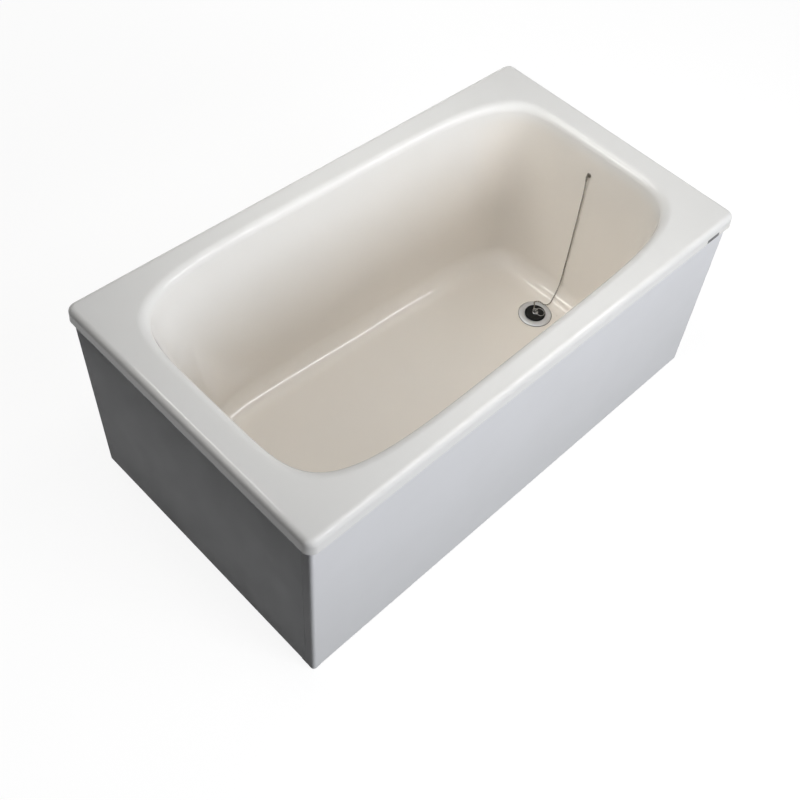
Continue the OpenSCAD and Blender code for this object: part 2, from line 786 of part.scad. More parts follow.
module drain_gasket() {
    color("#222222")
        translate([drain_x, drain_y, spot_top])
            pipe(flange_r + gasket_out, tail_r + lay_gap, gasket_t);
}

module under_gasket() {
    color("#222222")
        translate([drain_x, drain_y, spot_low - gasket_low_t])
            pipe(nut_r + 1, tail_r + hole_fit, gasket_low_t);
}

module slip_washer() {
    color("white")
        translate([drain_x, drain_y, nut_top])
            pipe(nut_r, tail_r + hole_fit, washer_t);
}

module lock_nut() {
    body_r = nut_r - 4;
    rim_t = 3;
    lug_w = 6;
    lugs = 8;
    color("silver")
        translate([drain_x, drain_y, nut_top - nut_h])
            difference() {
                union() {
                    cylinder(r = body_r, h = nut_h - rim_t / 2, $fn = round_n);
                    translate([0, 0, nut_h - rim_t])
                        cylinder(r = nut_r, h = rim_t, $fn = round_n);
                    for (k = [0:lugs - 1])
                        rotate((k + 0.5) * 360 / lugs)
                            translate([nut_r / 2 + body_r / 2 - lug_w / 2, -lug_w / 2, 1])
                                cube([lug_w / 2 + 1, lug_w, nut_h - rim_t]);
                }
                translate([0, 0, -1])
                    cylinder(r = tail_r + hole_fit, h = nut_h + 2, $fn = round_n);
            }
}

// Disc with holes, lying on the ledge inside the tail
module strainer() {
    r = plug_low_r + plug_fit - hole_fit;
    color("silver")
        translate([drain_x, drain_y, ledge_z])
            difference() {
                cylinder(r = r, h = strainer_t, $fn = round_n);
                for (k = [0:5])
                    rotate(k * 60)
                        translate([r * 0.56, 0, -1])
                            cylinder(r = r * 0.2, h = strainer_t + 2, $fn = small_n);
                translate([0, 0, -1])
                    cylinder(r = r * 0.2, h = strainer_t + 2, $fn = small_n);
            }
}

module plug_rubber() {
    hollow = plug_h - plug_web;
    skirt_r = plug_low_r - plug_skirt;
    color("#181818")
        translate([drain_x, drain_y, plug_z])
            rotate_extrude($fn = round_n)
                polygon([
                    [stud_r + hole_fit, hollow], [skirt_r, hollow], [skirt_r, 0], [plug_low_r, 0],
                    [plug_high_r - plug_cone * plug_edge_r, plug_h - plug_edge_r],
                    [plug_high_r - plug_edge_r, plug_h], [stud_r + hole_fit, plug_h]]);
}

// Stud through the plug with its disc and upright eye
module plug_eye() {
    low = plug_top_z - plug_web - plug_nut_h - 2;
    color("silver")
        translate([drain_x, drain_y, 0]) {
            translate([0, 0, low])
                cylinder(r = stud_r, h = plug_top_z + stud_disc_t - low, $fn = small_n);
            translate([0, 0, plug_top_z])
                cylinder(r = stud_disc_r, h = stud_disc_t, $fn = round_n);
            translate([0, 0, plug_top_z])
                cylinder(r = eye_wire_r, h = stud_disc_t + eye_neck + eye_wire_r, $fn = small_n);
            translate([0, 0, eye_z])
                rotate([0, 90, eye_turn])
                    ring(eye_r, eye_wire_r);
        }
}

module plug_nut() {
    under = plug_top_z - plug_web;
    color("silver")
        translate([drain_x, drain_y, 0])
            difference() {
                union() {
                    translate([0, 0, under - 1])
                        cylinder(r = plug_washer_r, h = 1, $fn = round_n);
                    translate([0, 0, under - plug_nut_h])
                        cylinder(r = plug_nut_r, h = plug_nut_h, $fn = 6);
                }
                translate([0, 0, under - plug_nut_h - 1])
                    cylinder(r = stud_r + hole_fit, h = plug_nut_h + 2, $fn = small_n);
            }
}

// Pull ring, lying with its far side on the plug
module pull_ring() {
    color("silver")
        translate([drain_x, drain_y, pull_axis_z])
            rotate([pull_drop, 0, eye_turn])
                translate([0, -pull_r, 0])
                    ring(pull_r, pull_wire_r);
}

// Small link with the ferrule that grips the chain's last ball; the ferrule points to +X
module chain_link() {
    ring(link_r, link_wire_r);
    translate([link_r, 0, 0])
        rotate([0, 90, 0])
            cylinder(r = ferrule_r, h = ferrule_len, $fn = small_n);
}

module plug_link() {
    color("silver")
        translate(plug_link_at)
            rotate([0, link_dip, eye_turn])
                chain_link();
}

module ball_chain() {
    color("silver")
        tube(spline(chain_route, chain_steps), chain_r, chain_sides);
}

module anchor_link() {
    color("silver")
        translate([anchor_eye.x, anchor_eye.y, anchor_link_z])
            rotate([0, 90, 0])
                chain_link();
}

// Anchor: rosette on the wall, a stem through it and an eye whose hole runs along Y
module wall_anchor() {
    stem = shell_t + anchor_seal_t + anchor_nut_h + 3;
    out = rosette_t + anchor_neck;
    color("dimgray")
        at_anchor() {
            translate([0, 0, -stem])
                cylinder(r = anchor_stem_r, h = stem + 1, $fn = small_n);
            cylinder(r1 = rosette_r, r2 = rosette_r - 1.5, h = rosette_t, $fn = round_n);
            cylinder(r = anchor_eye_wire, h = out + anchor_eye_wire / 2, $fn = small_n);
            translate([0, 0, out + anchor_eye_r])
                rotate([90, 0, 0])
                    ring(anchor_eye_r, anchor_eye_wire);
        }
}

module anchor_seal() {
    color("#222222")
        at_anchor()
            translate([0, 0, -shell_t - anchor_seal_t])
                pipe(rosette_r, anchor_stem_r + hole_fit, anchor_seal_t);
}

module anchor_nut() {
    color("silver")
        at_anchor()
            translate([0, 0, -shell_t - anchor_seal_t - anchor_nut_h])
                difference() {
                    cylinder(r = anchor_nut_r, h = anchor_nut_h, $fn = 6);
                    translate([0, 0, -1])
                        cylinder(r = anchor_stem_r + hole_fit, h = anchor_nut_h + 2, $fn = small_n);
                }
}

tub_shell();
rim_board_front();
rim_board_back();
rim_board_head();
rim_board_foot();
base_board();
foot(0);  // foot_1
foot(1);  // foot_2
foot(2);  // foot_3
foot(3);  // foot_4
foot_pad(0);  // foot_pad_1
foot_pad(1);  // foot_pad_2
foot_pad(2);  // foot_pad_3
foot_pad(3);  // foot_pad_4
front_panel();
end_panel();
corner_plate();
front_rail();
end_rail();
rail_screws();
front_strap(0);  // front_strap_1
front_strap(1);  // front_strap_2
front_strap(2);  // front_strap_3
end_strap(0);  // end_strap_1
end_strap(1);  // end_strap_2
strap_screws();
panel_screws();
blank_plate();
drain_flange();
drain_gasket();
under_gasket();
slip_washer();
lock_nut();
strainer();
plug_rubber();
plug_eye();
plug_nut();
pull_ring();
plug_link();
ball_chain();
anchor_link();
wall_anchor();
anchor_seal();
anchor_nut();
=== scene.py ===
# %% [markdown]
# # A soaking tub
# The tub is one glossy moulded shell with a broad rim. Two plain panels close its long side and
# its head end, and a rubber plug hangs on a ball chain at the drain end. The shapes that show are
# modelled here, and the plain boards and brackets keep their construction meshes with better
# finishes. First the frame is loaded, so that every measure below is in one shared place.

# %% Load the frame
import math

import bmesh
import bpy
from mathutils import Matrix, Vector


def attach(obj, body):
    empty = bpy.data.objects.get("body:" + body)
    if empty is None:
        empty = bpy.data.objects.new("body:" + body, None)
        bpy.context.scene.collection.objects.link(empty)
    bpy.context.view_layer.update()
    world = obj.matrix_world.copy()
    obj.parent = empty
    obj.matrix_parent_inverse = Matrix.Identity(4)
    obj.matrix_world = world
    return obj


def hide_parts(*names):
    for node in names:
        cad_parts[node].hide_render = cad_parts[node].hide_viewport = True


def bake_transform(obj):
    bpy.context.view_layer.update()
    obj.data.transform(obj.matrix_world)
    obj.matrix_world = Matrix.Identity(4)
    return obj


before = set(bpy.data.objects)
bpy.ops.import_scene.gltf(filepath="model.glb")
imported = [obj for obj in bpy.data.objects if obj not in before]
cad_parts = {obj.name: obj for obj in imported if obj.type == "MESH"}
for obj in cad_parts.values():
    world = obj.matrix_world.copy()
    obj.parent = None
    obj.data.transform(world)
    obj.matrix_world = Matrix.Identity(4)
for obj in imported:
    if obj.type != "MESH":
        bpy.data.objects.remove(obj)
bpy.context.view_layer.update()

print("frame loaded:", len(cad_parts), "nodes")

# %% [markdown]
# ## The camera
# A photograph taken from above the front corner has edges that run together quickly, so the lens
# is set from those edges. A small shift keeps the tub where it stands in the picture without
# turning the camera. The camera is made first, because the chain is judged by what it sees.

# %% Camera
MM = 0.001
PICTURE = 800
SENSOR = 36.0


def make_camera(place, right, up, focal_px, centre_px):
    """Camera from a place in mm, its right and up directions and its focal length in pixels."""
    data = bpy.data.cameras.new("studio_camera")
    data.sensor_width = SENSOR
    data.lens = SENSOR * focal_px / PICTURE
    data.shift_x = 0.5 - centre_px[0] / PICTURE
    data.shift_y = centre_px[1] / PICTURE - 0.5
    data.clip_end = 100
    camera = bpy.data.objects.new("studio_camera", data)
    bpy.context.scene.collection.objects.link(camera)
    x_axis = Vector(right).normalized()
    z_axis = x_axis.cross(Vector(up)).normalized()
    y_axis = z_axis.cross(x_axis)
    turn = Matrix((x_axis, y_axis, z_axis)).transposed().to_4x4()
    camera.matrix_world = Matrix.Translation(Vector(place) * MM) @ turn
    bpy.context.scene.camera = camera
    return camera


CAMERA_PLACE = (-1238.5, -1088.9, 2224.9)
CAMERA_RIGHT, CAMERA_UP = (0.67938, -0.7239, 0.12006), (0.50743, 0.58167, 0.63575)
FOCAL_PX, CENTRE_PX = 1078.3, (498.2, 345.9)
camera = make_camera(CAMERA_PLACE, CAMERA_RIGHT, CAMERA_UP, FOCAL_PX, CENTRE_PX)
print("camera lens", round(camera.data.lens, 2), "mm")

# %% [markdown]
# ## The tub's own measures
# Everything below is drawn from a few measures in millimetres, the same ones that shaped the
# construction model. Keeping them together lets a reader see at once how the pieces fit.

# %% Measures of the rim, basin, panels and drain
RIM_HX, RIM_HY, RIM_H = 654.0, 370.0, 550.0
LIP_FLARE, LIP_Z, EDGE_R, CORNER_R = 1.5, 515.0, 14.5, 22.0
SHELL_T, ROLL_R, COVE_R = 5.0, 22.0, 60.0
OPEN_HEAD, OPEN_FOOT, OPEN_HALF, OPEN_Y = 597.0, 592.5, 322.0, -2.0
FLOOR_HEAD, FLOOR_FOOT, FLOOR_HALF = 470.0, 529.0, 248.0
RIM_TAPER, FLOOR_TAPER = 0.018, 0.045
END_SQUARE, SIDE_SQUARE, FLOOR_SQUARE = 4.9, 5.6, 7.0
FLOOR_Z, FLOOR_FALL = 50.0, 0.006
PANEL_X, PANEL_Y, PANEL_T, PANEL_LOW, PANEL_TOP = -643.0, -359.0, 3.0, 2.0, 525.0
PANEL_R, PANEL_RIGHT, PANEL_BACK, RETURN_Y = 8.0, 644.5, 363.5, -334.0
DRAIN = Vector((432.0, -20.0, 0.0))
FLANGE_R, FLANGE_UNDER, FLANGE_TOP = 45.0, 50.918, 53.318
TAIL_R, SPIGOT_R, OUTLET_R, TAIL_LOW, SPIGOT_TOP, LEDGE_Z = 29.0, 28.0, 22.0, 8.0, 28.0, 21.0
SPOT_TOP, SPOT_LOW, SPOT_R, SPOT_BACK_R, HOLE_R = 49.718, 45.246, 46.9, 40.0, 29.5
PLUG_Z, PLUG_H, PLUG_LOW_R, PLUG_CONE = 33.818, 24.0, 25.0, 0.14
PLUG_TOP = PLUG_Z + PLUG_H
EYE_Z, EYE_R, EYE_WIRE, EYE_TURN = 66.418, 4.6, 1.3, 35.0
PULL_Z, PULL_R, PULL_WIRE, PULL_DROP = 64.368, 12.5, 1.0, 12.24
LINK_R, LINK_WIRE, FERRULE_R, FERRULE_LEN = 3.0, 0.8, 2.4, 7.0
CHAIN_R = 2.0
QUARTER = math.pi / 2
print("rim", 2 * (RIM_HX + LIP_FLARE), "x", 2 * (RIM_HY + LIP_FLARE), "mm, height", RIM_H, "mm")

# %% [markdown]
# ## The ball chain
# A ball chain is a row of hollow balls on short dumb-bell wires, so it bends freely but never
# stretches. It hangs down the end wall from its anchor, lies in a small loop over the drain and
# ends at the plug. A bevelled curve would give a plain tube, so balls are set along a smooth
# route instead, each of fewer than a hundred faces, with a thin wire through them.

# %% Route of the chain
ANCHOR_EYE = Vector((557.018, -3.0, 464.66))
LINK_WAY = Vector((0.7424, 0.5198, -0.4226))
PLUG_LINK_AT = Vector((428.90, -15.58, 66.42))


def smooth_route(points, steps):
    """Points on one smooth curve that passes through all the given points."""
    out = []
    for i in range(len(points) - 1):
        a, b = points[max(i - 1, 0)], points[i]
        c, d = points[i + 1], points[min(i + 2, len(points) - 1)]
        for k in range(steps):
            s = k / steps
            out.append(0.5 * (2 * b + s * (c - a) + s * s * (2 * a - 5 * b + 4 * c - d)
                              + s ** 3 * (3 * b - a - 3 * c + d)))
    return out + [points[-1]]


chain_marks = [(557.018, -3, 449.76), (557, -4, 435), (555, -6, 400), (552.5, -7, 360),
               (549.5, -9, 320), (546, -10, 280), (542.5, -12, 240), (539.5, -13, 200),
               (536, -14, 160), (533, -15, 130), (529, -16, 104), (522, -17, 84),
               (513, -18, 69), (502, -20, 60), (493.5, -22.5, 56), (484, -23, 55),
               (477, -20.5, 55.5), (473, -14, 55.7), (473, -6, 55.7), (470.5, 1.5, 55.7),
               (464.5, 6.3, 56), (457.5, 6.7, 57.4), (452, 2.5, 59.6), (447.3, -2.8, 60.8),
               PLUG_LINK_AT + 16 * LINK_WAY + Vector((0, 0, 0.9)), PLUG_LINK_AT + 10.3 * LINK_WAY]
chain_path = [p * MM for p in smooth_route([Vector(m) for m in chain_marks], 8)]

# %% [markdown]
# ## From a mesh to a piece
# Every new piece goes the same way: its bmesh becomes a mesh with smooth shading and sharp edges
# by angle, gets its finishes, stands for its construction nodes and rides on a body. One helper
# does this, so no piece can miss a step. A second one adds a live bevel, which is easier to
# change later than a bevel in the mesh.

# %% Making a piece from a mesh
SHARP = math.radians(32)


def make_piece(name, bm, finishes, slot, body, *nodes, sharp=SHARP):
    """Turns a bmesh in metres into an object that stands for CAD nodes and rides on a body."""
    mesh = bpy.data.meshes.new(name)
    bm.to_mesh(mesh)
    bm.free()
    mesh.shade_smooth()
    mesh.set_sharp_from_angle(angle=sharp)
    for finish in finishes:
        mesh.materials.append(finish)
    piece = bpy.data.objects.new(name, mesh)
    bpy.context.scene.collection.objects.link(piece)
    if body:
        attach(piece, body)
    if nodes:
        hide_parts(*nodes)
    print(name, len(mesh.vertices), "points", len(mesh.polygons), "faces")
    return piece


def soften(piece, name, width, angle):
    """A live bevel of two steps on a piece's edges, width in mm, that keeps flat faces flat."""
    soft = piece.modifiers.new(name, "BEVEL")
    soft.width = width * MM
    soft.segments = 2
    soft.limit_method = "ANGLE"
    soft.angle_limit = math.radians(angle)
    soft.harden_normals = True


# %% [markdown]
# ## Finishes in general
# Every finish is a small node tree. Colour, roughness and a fine bump come from noise in the
# object's own coordinates, so that a pattern has its real size in metres and stays put from any
# side. Values that are the same all over sit on the shader itself.

# %% Helpers for node trees
def new_finish(name, **constants):
    """A node material with one shader; the constants go straight on the shader's sockets."""
    material = bpy.data.materials.new(name)
    material.use_nodes = True
    tree = material.node_tree
    shader = tree.nodes["Principled BSDF"]
    for socket, value in constants.items():
        shader.inputs[socket.replace("_", " ")].default_value = value
    return material, tree, shader


def add(tree, kind, settings=None, **inputs):
    """Adds a node, sets its properties and fills its inputs with values or links."""
    node = tree.nodes.new(kind)
    for key, value in (settings or {}).items():
        setattr(node, key, value)
    for key, value in inputs.items():
        wanted = key.replace("_", " ")
        socket = next(s for s in node.inputs if s.enabled and s.name == wanted)
        if isinstance(value, bpy.types.NodeSocket):
            tree.links.new(value, socket)
        else:
            socket.default_value = value
    return node


def place_of(tree, scale=(1, 1, 1), turn=(0, 0, 0), move=(0, 0, 0)):
    """Object coordinates, moved, turned and scaled."""
    where = add(tree, "ShaderNodeTexCoord")
    fit = add(tree, "ShaderNodeMapping", Vector=where.outputs["Object"], Scale=scale,
              Rotation=turn, Location=move)
    return fit.outputs["Vector"]


def noise(tree, place, size, detail=3.0, rough=0.5, distort=0.0):
    """Noise whose blotches are about size metres wide."""
    node = add(tree, "ShaderNodeTexNoise", Vector=place, Scale=1 / size, Detail=detail,
               Roughness=rough, Distortion=distort)
    return node.outputs["Fac"]


def spread(tree, value, low, high, to_low=0.0, to_high=1.0):
    """Turns a value between low and high, with soft ends, into one between two others."""
    node = add(tree, "ShaderNodeMapRange", {"interpolation_type": "SMOOTHSTEP"}, Value=value,
               From_Min=low, From_Max=high, To_Min=to_low, To_Max=to_high)
    return node.outputs["Result"]


def math_of(tree, operation, a, b=0.0):
    """One step of arithmetic."""
    node = tree.nodes.new("ShaderNodeMath")
    node.operation = operation
    for socket, value in zip(node.inputs, (a, b)):
        if isinstance(value, bpy.types.NodeSocket):
            tree.links.new(value, socket)
        else:
            socket.default_value = value
    return node.outputs[0]


def blend_colours(tree, share, first, second):
    """Mixes two colours or colour links by a share from 0 to 1."""
    node = tree.nodes.new("ShaderNodeMix")
    node.data_type = "RGBA"
    for index, value in ((0, share), (6, first), (7, second)):
        if isinstance(value, bpy.types.NodeSocket):
            tree.links.new(value, node.inputs[index])
        elif index == 0:
            node.inputs[index].default_value = value
        else:
            node.inputs[index].default_value = (*value, 1)
    return node.outputs[2]


def raise_bump(tree, shader, height, depth):
    """Adds a fine relief of the given depth in metres to the shader."""
    bump = add(tree, "ShaderNodeBump", Height=height, Distance=depth, Strength=1.0)
    tree.links.new(bump.outputs["Normal"], shader.inputs["Normal"])


def join(tree, value, shader, socket):
    """Links a value to one of the shader's sockets."""
    tree.links.new(value, shader.inputs[socket])


# %% [markdown]
# ## Finish of the moulded shell
# The face of the shell is a glossy gelcoat, sprayed into the mould before the glass fibre. It is
# near white on the rim and turns to a warm ivory down in the basin. Height decides that change,
# and it starts higher at the drain end. Broad soft noise keeps the colour from being dead, a
# second noise varies the gloss, and a very shallow bump gives the slight waves of a real moulding.

# %% Gelcoat
RIM_WHITE, BASIN_IVORY, CLOUD_GREY = (0.84, 0.84, 0.832), (0.84, 0.795, 0.735), (0.66, 0.64, 0.60)
WHITE_FROM, IVORY_FROM = 0.56, 0.16
FADE_SLOPE, FADE_WANDER, WANDER_SIZE = 0.10, 0.05, 0.35
DRAIN_END_X, END_WARMTH = 0.42, 1.3
FLAT_RIM_FROM, INSIDE_FROM = 0.545, 0.49
GLOSS_FINEST, GLOSS_DULLEST = 0.025, 0.045
WAVE_SIZE, PEEL_SIZE, PEEL_SHARE, RELIEF = 0.16, 0.004, 0.012, 0.0006


def make_gelcoat():
    """White above, ivory below; heights and places are in metres."""
    material, tree, shader = new_finish("gelcoat", IOR=1.5)
    place = place_of(tree)
    axes = add(tree, "ShaderNodeSeparateXYZ", Vector=place)
    wander = noise(tree, place, WANDER_SIZE, 2.0)
    height = math_of(tree, "SUBTRACT", axes.outputs["Z"],
                     math_of(tree, "MULTIPLY", axes.outputs["X"], FADE_SLOPE))
    past = math_of(tree, "SUBTRACT", axes.outputs["X"], DRAIN_END_X)
    past = math_of(tree, "MAXIMUM", past, 0.0)
    height = math_of(tree, "SUBTRACT", height, math_of(tree, "MULTIPLY", past, END_WARMTH))
    height = math_of(tree, "ADD", height, math_of(tree, "MULTIPLY", wander, FADE_WANDER))
    depth = spread(tree, height, WHITE_FROM, IVORY_FROM)
    inside = spread(tree, axes.outputs["Z"], FLAT_RIM_FROM, INSIDE_FROM)
    warmth = math_of(tree, "MULTIPLY", depth, inside)
    body = blend_colours(tree, warmth, RIM_WHITE, BASIN_IVORY)
    cloud = spread(tree, noise(tree, place, 0.11, 4.0), 0.25, 0.75, 0.0, 0.05)
    join(tree, blend_colours(tree, cloud, body, CLOUD_GREY), shader, "Base Color")
    gloss = spread(tree, noise(tree, place, 0.06, 5.0), 0.3, 0.7, GLOSS_FINEST, GLOSS_DULLEST)
    join(tree, gloss, shader, "Roughness")
    waves = noise(tree, place, WAVE_SIZE, 2.0)
    peel = noise(tree, place, PEEL_SIZE, 2.0)
    relief = math_of(tree, "ADD", waves, math_of(tree, "MULTIPLY", peel, PEEL_SHARE))
    raise_bump(tree, shader, relief, RELIEF)
    return material


# %% [markdown]
# ## Finish of the shell's underside
# Behind the gelcoat lies chopped glass strand in clear resin, rolled on by hand. It is a pale
# straw colour with crossing strands and a rough, slightly shiny skin. Three noises, each drawn
# out in its own direction, stand for the strands.

# %% Laminate
RESIN_DARK, RESIN_LIGHT, STRAND_PALE = (0.50, 0.47, 0.36), (0.62, 0.59, 0.47), (0.74, 0.73, 0.64)


def strands(tree, turn, seed):
    """Long thin strands that lie in one direction; the seed moves them to their own place."""
    place = place_of(tree, (420, 26, 420), (0.4 * seed, 0.3 * seed, turn), (seed, seed, 0))
    return spread(tree, noise(tree, place, 1.0, 2.0, 0.4), 0.52, 0.66)


def make_laminate():
    """Resin in two tones under crossing strands."""
    material, tree, shader = new_finish("laminate", IOR=1.52)
    threads = strands(tree, 0.3, 1.0)
    for turn, seed in ((1.4, 2.0), (2.5, 3.0)):
        threads = math_of(tree, "MAXIMUM", threads, strands(tree, turn, seed))
    pools = noise(tree, place_of(tree), 0.05, 4.0)
    resin = blend_colours(tree, pools, RESIN_DARK, RESIN_LIGHT)
    colour = blend_colours(tree, math_of(tree, "MULTIPLY", threads, 0.55), resin, STRAND_PALE)
    join(tree, colour, shader, "Base Color")
    join(tree, spread(tree, pools, 0.3, 0.7, 0.35, 0.6), shader, "Roughness")
    raise_bump(tree, shader, math_of(tree, "ADD", threads, pools), 0.0007)
    return material


# %% [markdown]
# ## Finish of the panels
# The panels are coated sheet: white with a cool tint, less glossy than the shell, with the very
# fine orange peel of a sprayed coat. A painted shade greys the coat a little towards the floor.

# %% Panel coat
# The coat's lower colour is painted shade, greyer towards the floor where less light falls
COAT_TOP, COAT_PAINTED_SHADE, COAT_CLOUD = (0.83, 0.838, 0.865), (0.775, 0.782, 0.80), (0.62, 0.62, 0.62)


def make_panel_coat():
    """A cool white coat, with painted shade that greys it a little towards the floor."""
    material, tree, shader = new_finish("panel_coat", IOR=1.30, Specular_IOR_Level=0.05)
    place = place_of(tree)
    axes = add(tree, "ShaderNodeSeparateXYZ", Vector=place)
    # Painted shade: this mask darkens the coat towards the floor
    low = spread(tree, axes.outputs["Z"], 0.50, 0.0)
    cloud = noise(tree, place, 0.14, 4.0)
    colour = blend_colours(tree, low, COAT_TOP, COAT_PAINTED_SHADE)
    colour = blend_colours(tree, spread(tree, cloud, 0.3, 0.7, 0.0, 0.07), colour, COAT_CLOUD)
    join(tree, colour, shader, "Base Color")
    join(tree, spread(tree, noise(tree, place, 0.05, 4.0), 0.3, 0.7, 0.34, 0.44), shader,
         "Roughness")
    peel = noise(tree, place, 0.0022, 3.0)
    soft = noise(tree, place, 0.25, 1.0)
    raise_bump(tree, shader, math_of(tree, "ADD", math_of(tree, "MULTIPLY", peel, 0.05), soft),
               0.0005)
    return material


# %% [markdown]
# ## Finish of the boards
# The boards are plywood. Its edges show thin plies in turn light and dark, and its faces show
# long grain. Bands by height make the plies, because the boards lie flat, and noise that is drawn
# out along the board makes the grain.

# %% Plywood
WOOD_DARK, WOOD_LIGHT, PLY_LINE = (0.48, 0.31, 0.16), (0.66, 0.47, 0.28), (0.36, 0.21, 0.10)
PLY_WAVE = 1850.0


def make_plywood(name, along_y=False):
    """Plywood whose grain runs along X, or along Y."""
    material, tree, shader = new_finish(name, IOR=1.4)
    long_way = (60, 4, 60) if along_y else (4, 60, 60)
    grain = noise(tree, place_of(tree, long_way), 1.0, 6.0, 0.6, 0.6)
    axes = add(tree, "ShaderNodeSeparateXYZ", Vector=place_of(tree))
    plies = math_of(tree, "SINE", math_of(tree, "MULTIPLY", axes.outputs["Z"], PLY_WAVE))
    ply = spread(tree, plies, -0.4, 0.4)
    wood = blend_colours(tree, grain, WOOD_DARK, WOOD_LIGHT)
    colour = blend_colours(tree, math_of(tree, "MULTIPLY", ply, 0.35), wood, PLY_LINE)
    join(tree, colour, shader, "Base Color")
    join(tree, spread(tree, grain, 0.3, 0.7, 0.55, 0.75), shader, "Roughness")
    raise_bump(tree, shader, grain, 0.0004)
    return material


# %% [markdown]
# ## Finishes of the metal sheet and the small metal parts
# Zinc-coated sheet has a patchwork of large dull crystals, which cell noise gives. The turned and
# drawn metal parts are smoother: only their roughness and a faint scratch pattern vary.

# %% Metals
SCRATCH = 0.0006


def make_zinc():
    """Zinc coat with flat crystals about 8 mm wide."""
    material, tree, shader = new_finish("zinc_sheet", Metallic=0.9)
    place = place_of(tree)
    cells = add(tree, "ShaderNodeTexVoronoi", Vector=place, Scale=130.0)
    flake = add(tree, "ShaderNodeSeparateColor", Color=cells.outputs["Color"])
    tone = blend_colours(tree, flake.outputs[0], (0.42, 0.44, 0.46), (0.60, 0.62, 0.64))
    join(tree, tone, shader, "Base Color")
    join(tree, spread(tree, flake.outputs[1], 0.0, 1.0, 0.32, 0.52), shader, "Roughness")
    raise_bump(tree, shader, noise(tree, place, 0.003, 3.0), 0.0001)
    return material


def make_metal(name, dark, light, rough, metallic=1.0):
    """Drawn or cast metal between two tones, with a faint scratch pattern."""
    material, tree, shader = new_finish(name, Metallic=metallic)
    place = place_of(tree)
    tarnish = noise(tree, place, 0.006, 4.0)
    join(tree, blend_colours(tree, tarnish, dark, light), shader, "Base Color")
    join(tree, spread(tree, noise(tree, place, 0.002, 3.0), 0.3, 0.7, rough * 0.8, rough * 1.25),
         shader, "Roughness")
    raise_bump(tree, shader, noise(tree, place, SCRATCH, 2.0), 0.00002)
    return material


def make_turned_metal(name, dark, light, rough, ring_size):
    """Metal whose fine rings run round the drain's middle, as a lathe leaves them."""
    material, tree, shader = new_finish(name, Metallic=1.0)
    place = place_of(tree, move=-DRAIN * MM)
    axes = add(tree, "ShaderNodeSeparateXYZ", Vector=place)
    flat = add(tree, "ShaderNodeCombineXYZ", X=axes.outputs["X"], Y=axes.outputs["Y"])
    out = add(tree, "ShaderNodeVectorMath", {"operation": "LENGTH"},
              Vector=flat.outputs["Vector"])
    line = add(tree, "ShaderNodeCombineXYZ", X=out.outputs["Value"], Z=axes.outputs["Z"])
    rings = noise(tree, line.outputs["Vector"], ring_size, 3.0)
    water = noise(tree, place, 0.012, 4.0)
    join(tree, blend_colours(tree, water, dark, light), shader, "Base Color")
    join(tree, spread(tree, rings, 0.3, 0.7, rough * 0.8, rough * 1.3), shader, "Roughness")
    raise_bump(tree, shader, rings, 0.00003)
    return material


# %% [markdown]
# ## Finishes of rubber and plastic
# Black rubber is dull with a fine grain and a faint pale bloom of lime. Moulded plastic is a
# little smoother. Both share one recipe.

# %% Rubber and plastic
def make_moulded(name, body, bloom, share, rough, grain, depth, shine=0.5):
    """Rubber or plastic with a film of bloom; grain and depth are in metres."""
    material, tree, shader = new_finish(name, IOR=1.48, Specular_IOR_Level=shine)
    place = place_of(tree)
    film = spread(tree, noise(tree, place, 0.018, 4.0), 0.45, 0.8, 0.0, share)
    join(tree, blend_colours(tree, film, body, bloom), shader, "Base Color")
    join(tree, spread(tree, noise(tree, place, 0.008, 3.0), 0.3, 0.7, rough * 0.85, rough * 1.1),
         shader, "Roughness")
    raise_bump(tree, shader, noise(tree, place, grain, 2.0), depth)
    return material


# %% [markdown]
# ## All finishes together
# The recipes above are now filled in. The drain's ring is bright and brushed. The chain and its
# anchor are darker: they are worn, and the dark reflection of a room is painted into their colour.

# %% All finishes
gelcoat = make_gelcoat()
laminate = make_laminate()
panel_coat = make_panel_coat()
plywood = make_plywood("plywood")
plywood_cross = make_plywood("plywood_cross", along_y=True)
zinc = make_zinc()
screw_steel = make_metal("screw_steel", (0.42, 0.42, 0.43), (0.58, 0.58, 0.58), 0.32)
drain_steel = make_turned_metal("drain_steel", (0.62, 0.63, 0.65), (0.70, 0.71, 0.72), 0.46,
                                0.0006)
nut_brass = make_turned_metal("nut_brass", (0.50, 0.35, 0.14), (0.66, 0.50, 0.24), 0.38, 0.0009)
bright_metal = make_metal("bright_metal", (0.34, 0.34, 0.34), (0.52, 0.52, 0.52), 0.12)
# Painted reflection: the chain and anchor colours are darkened to stand in for a dark room in
# their gloss
chain_metal = make_metal("chain_metal", (0.20, 0.185, 0.16), (0.36, 0.34, 0.30), 0.26)
anchor_metal = make_metal("anchor_metal", (0.17, 0.155, 0.135), (0.30, 0.275, 0.24), 0.32)
plug_black = make_moulded("plug_black", (0.011, 0.011, 0.011), (0.03, 0.03, 0.03), 0.35, 0.42,
                          0.0009, 0.00006, shine=0.15)
pad_rubber = make_moulded("pad_rubber", (0.020, 0.020, 0.021), (0.07, 0.07, 0.07), 0.4, 0.7,
                          0.0012, 0.0001)
seal_rubber = make_moulded("seal_rubber", (0.018, 0.018, 0.018), (0.05, 0.05, 0.05), 0.3, 0.6,
                           0.001, 0.00005)
foot_plastic = make_moulded("foot_plastic", (0.085, 0.088, 0.093), (0.14, 0.14, 0.14), 0.5, 0.5,
                            0.0008, 0.00008)
washer_plastic = make_moulded("washer_plastic", (0.72, 0.72, 0.70), (0.60, 0.59, 0.55), 0.5,
                              0.45, 0.001, 0.00003)
plate_grey = make_metal("plate_grey", (0.12, 0.123, 0.13), (0.17, 0.173, 0.18), 0.45,
                        metallic=0.4)
print(len(bpy.data.materials), "finishes")

# %% [markdown]
# ## Balls, wires and rings
# Rings and links are bent wire. Each is a small circle spun about the ring's middle. The balls
# of the chain are low spheres on a thin wire that follows the route.

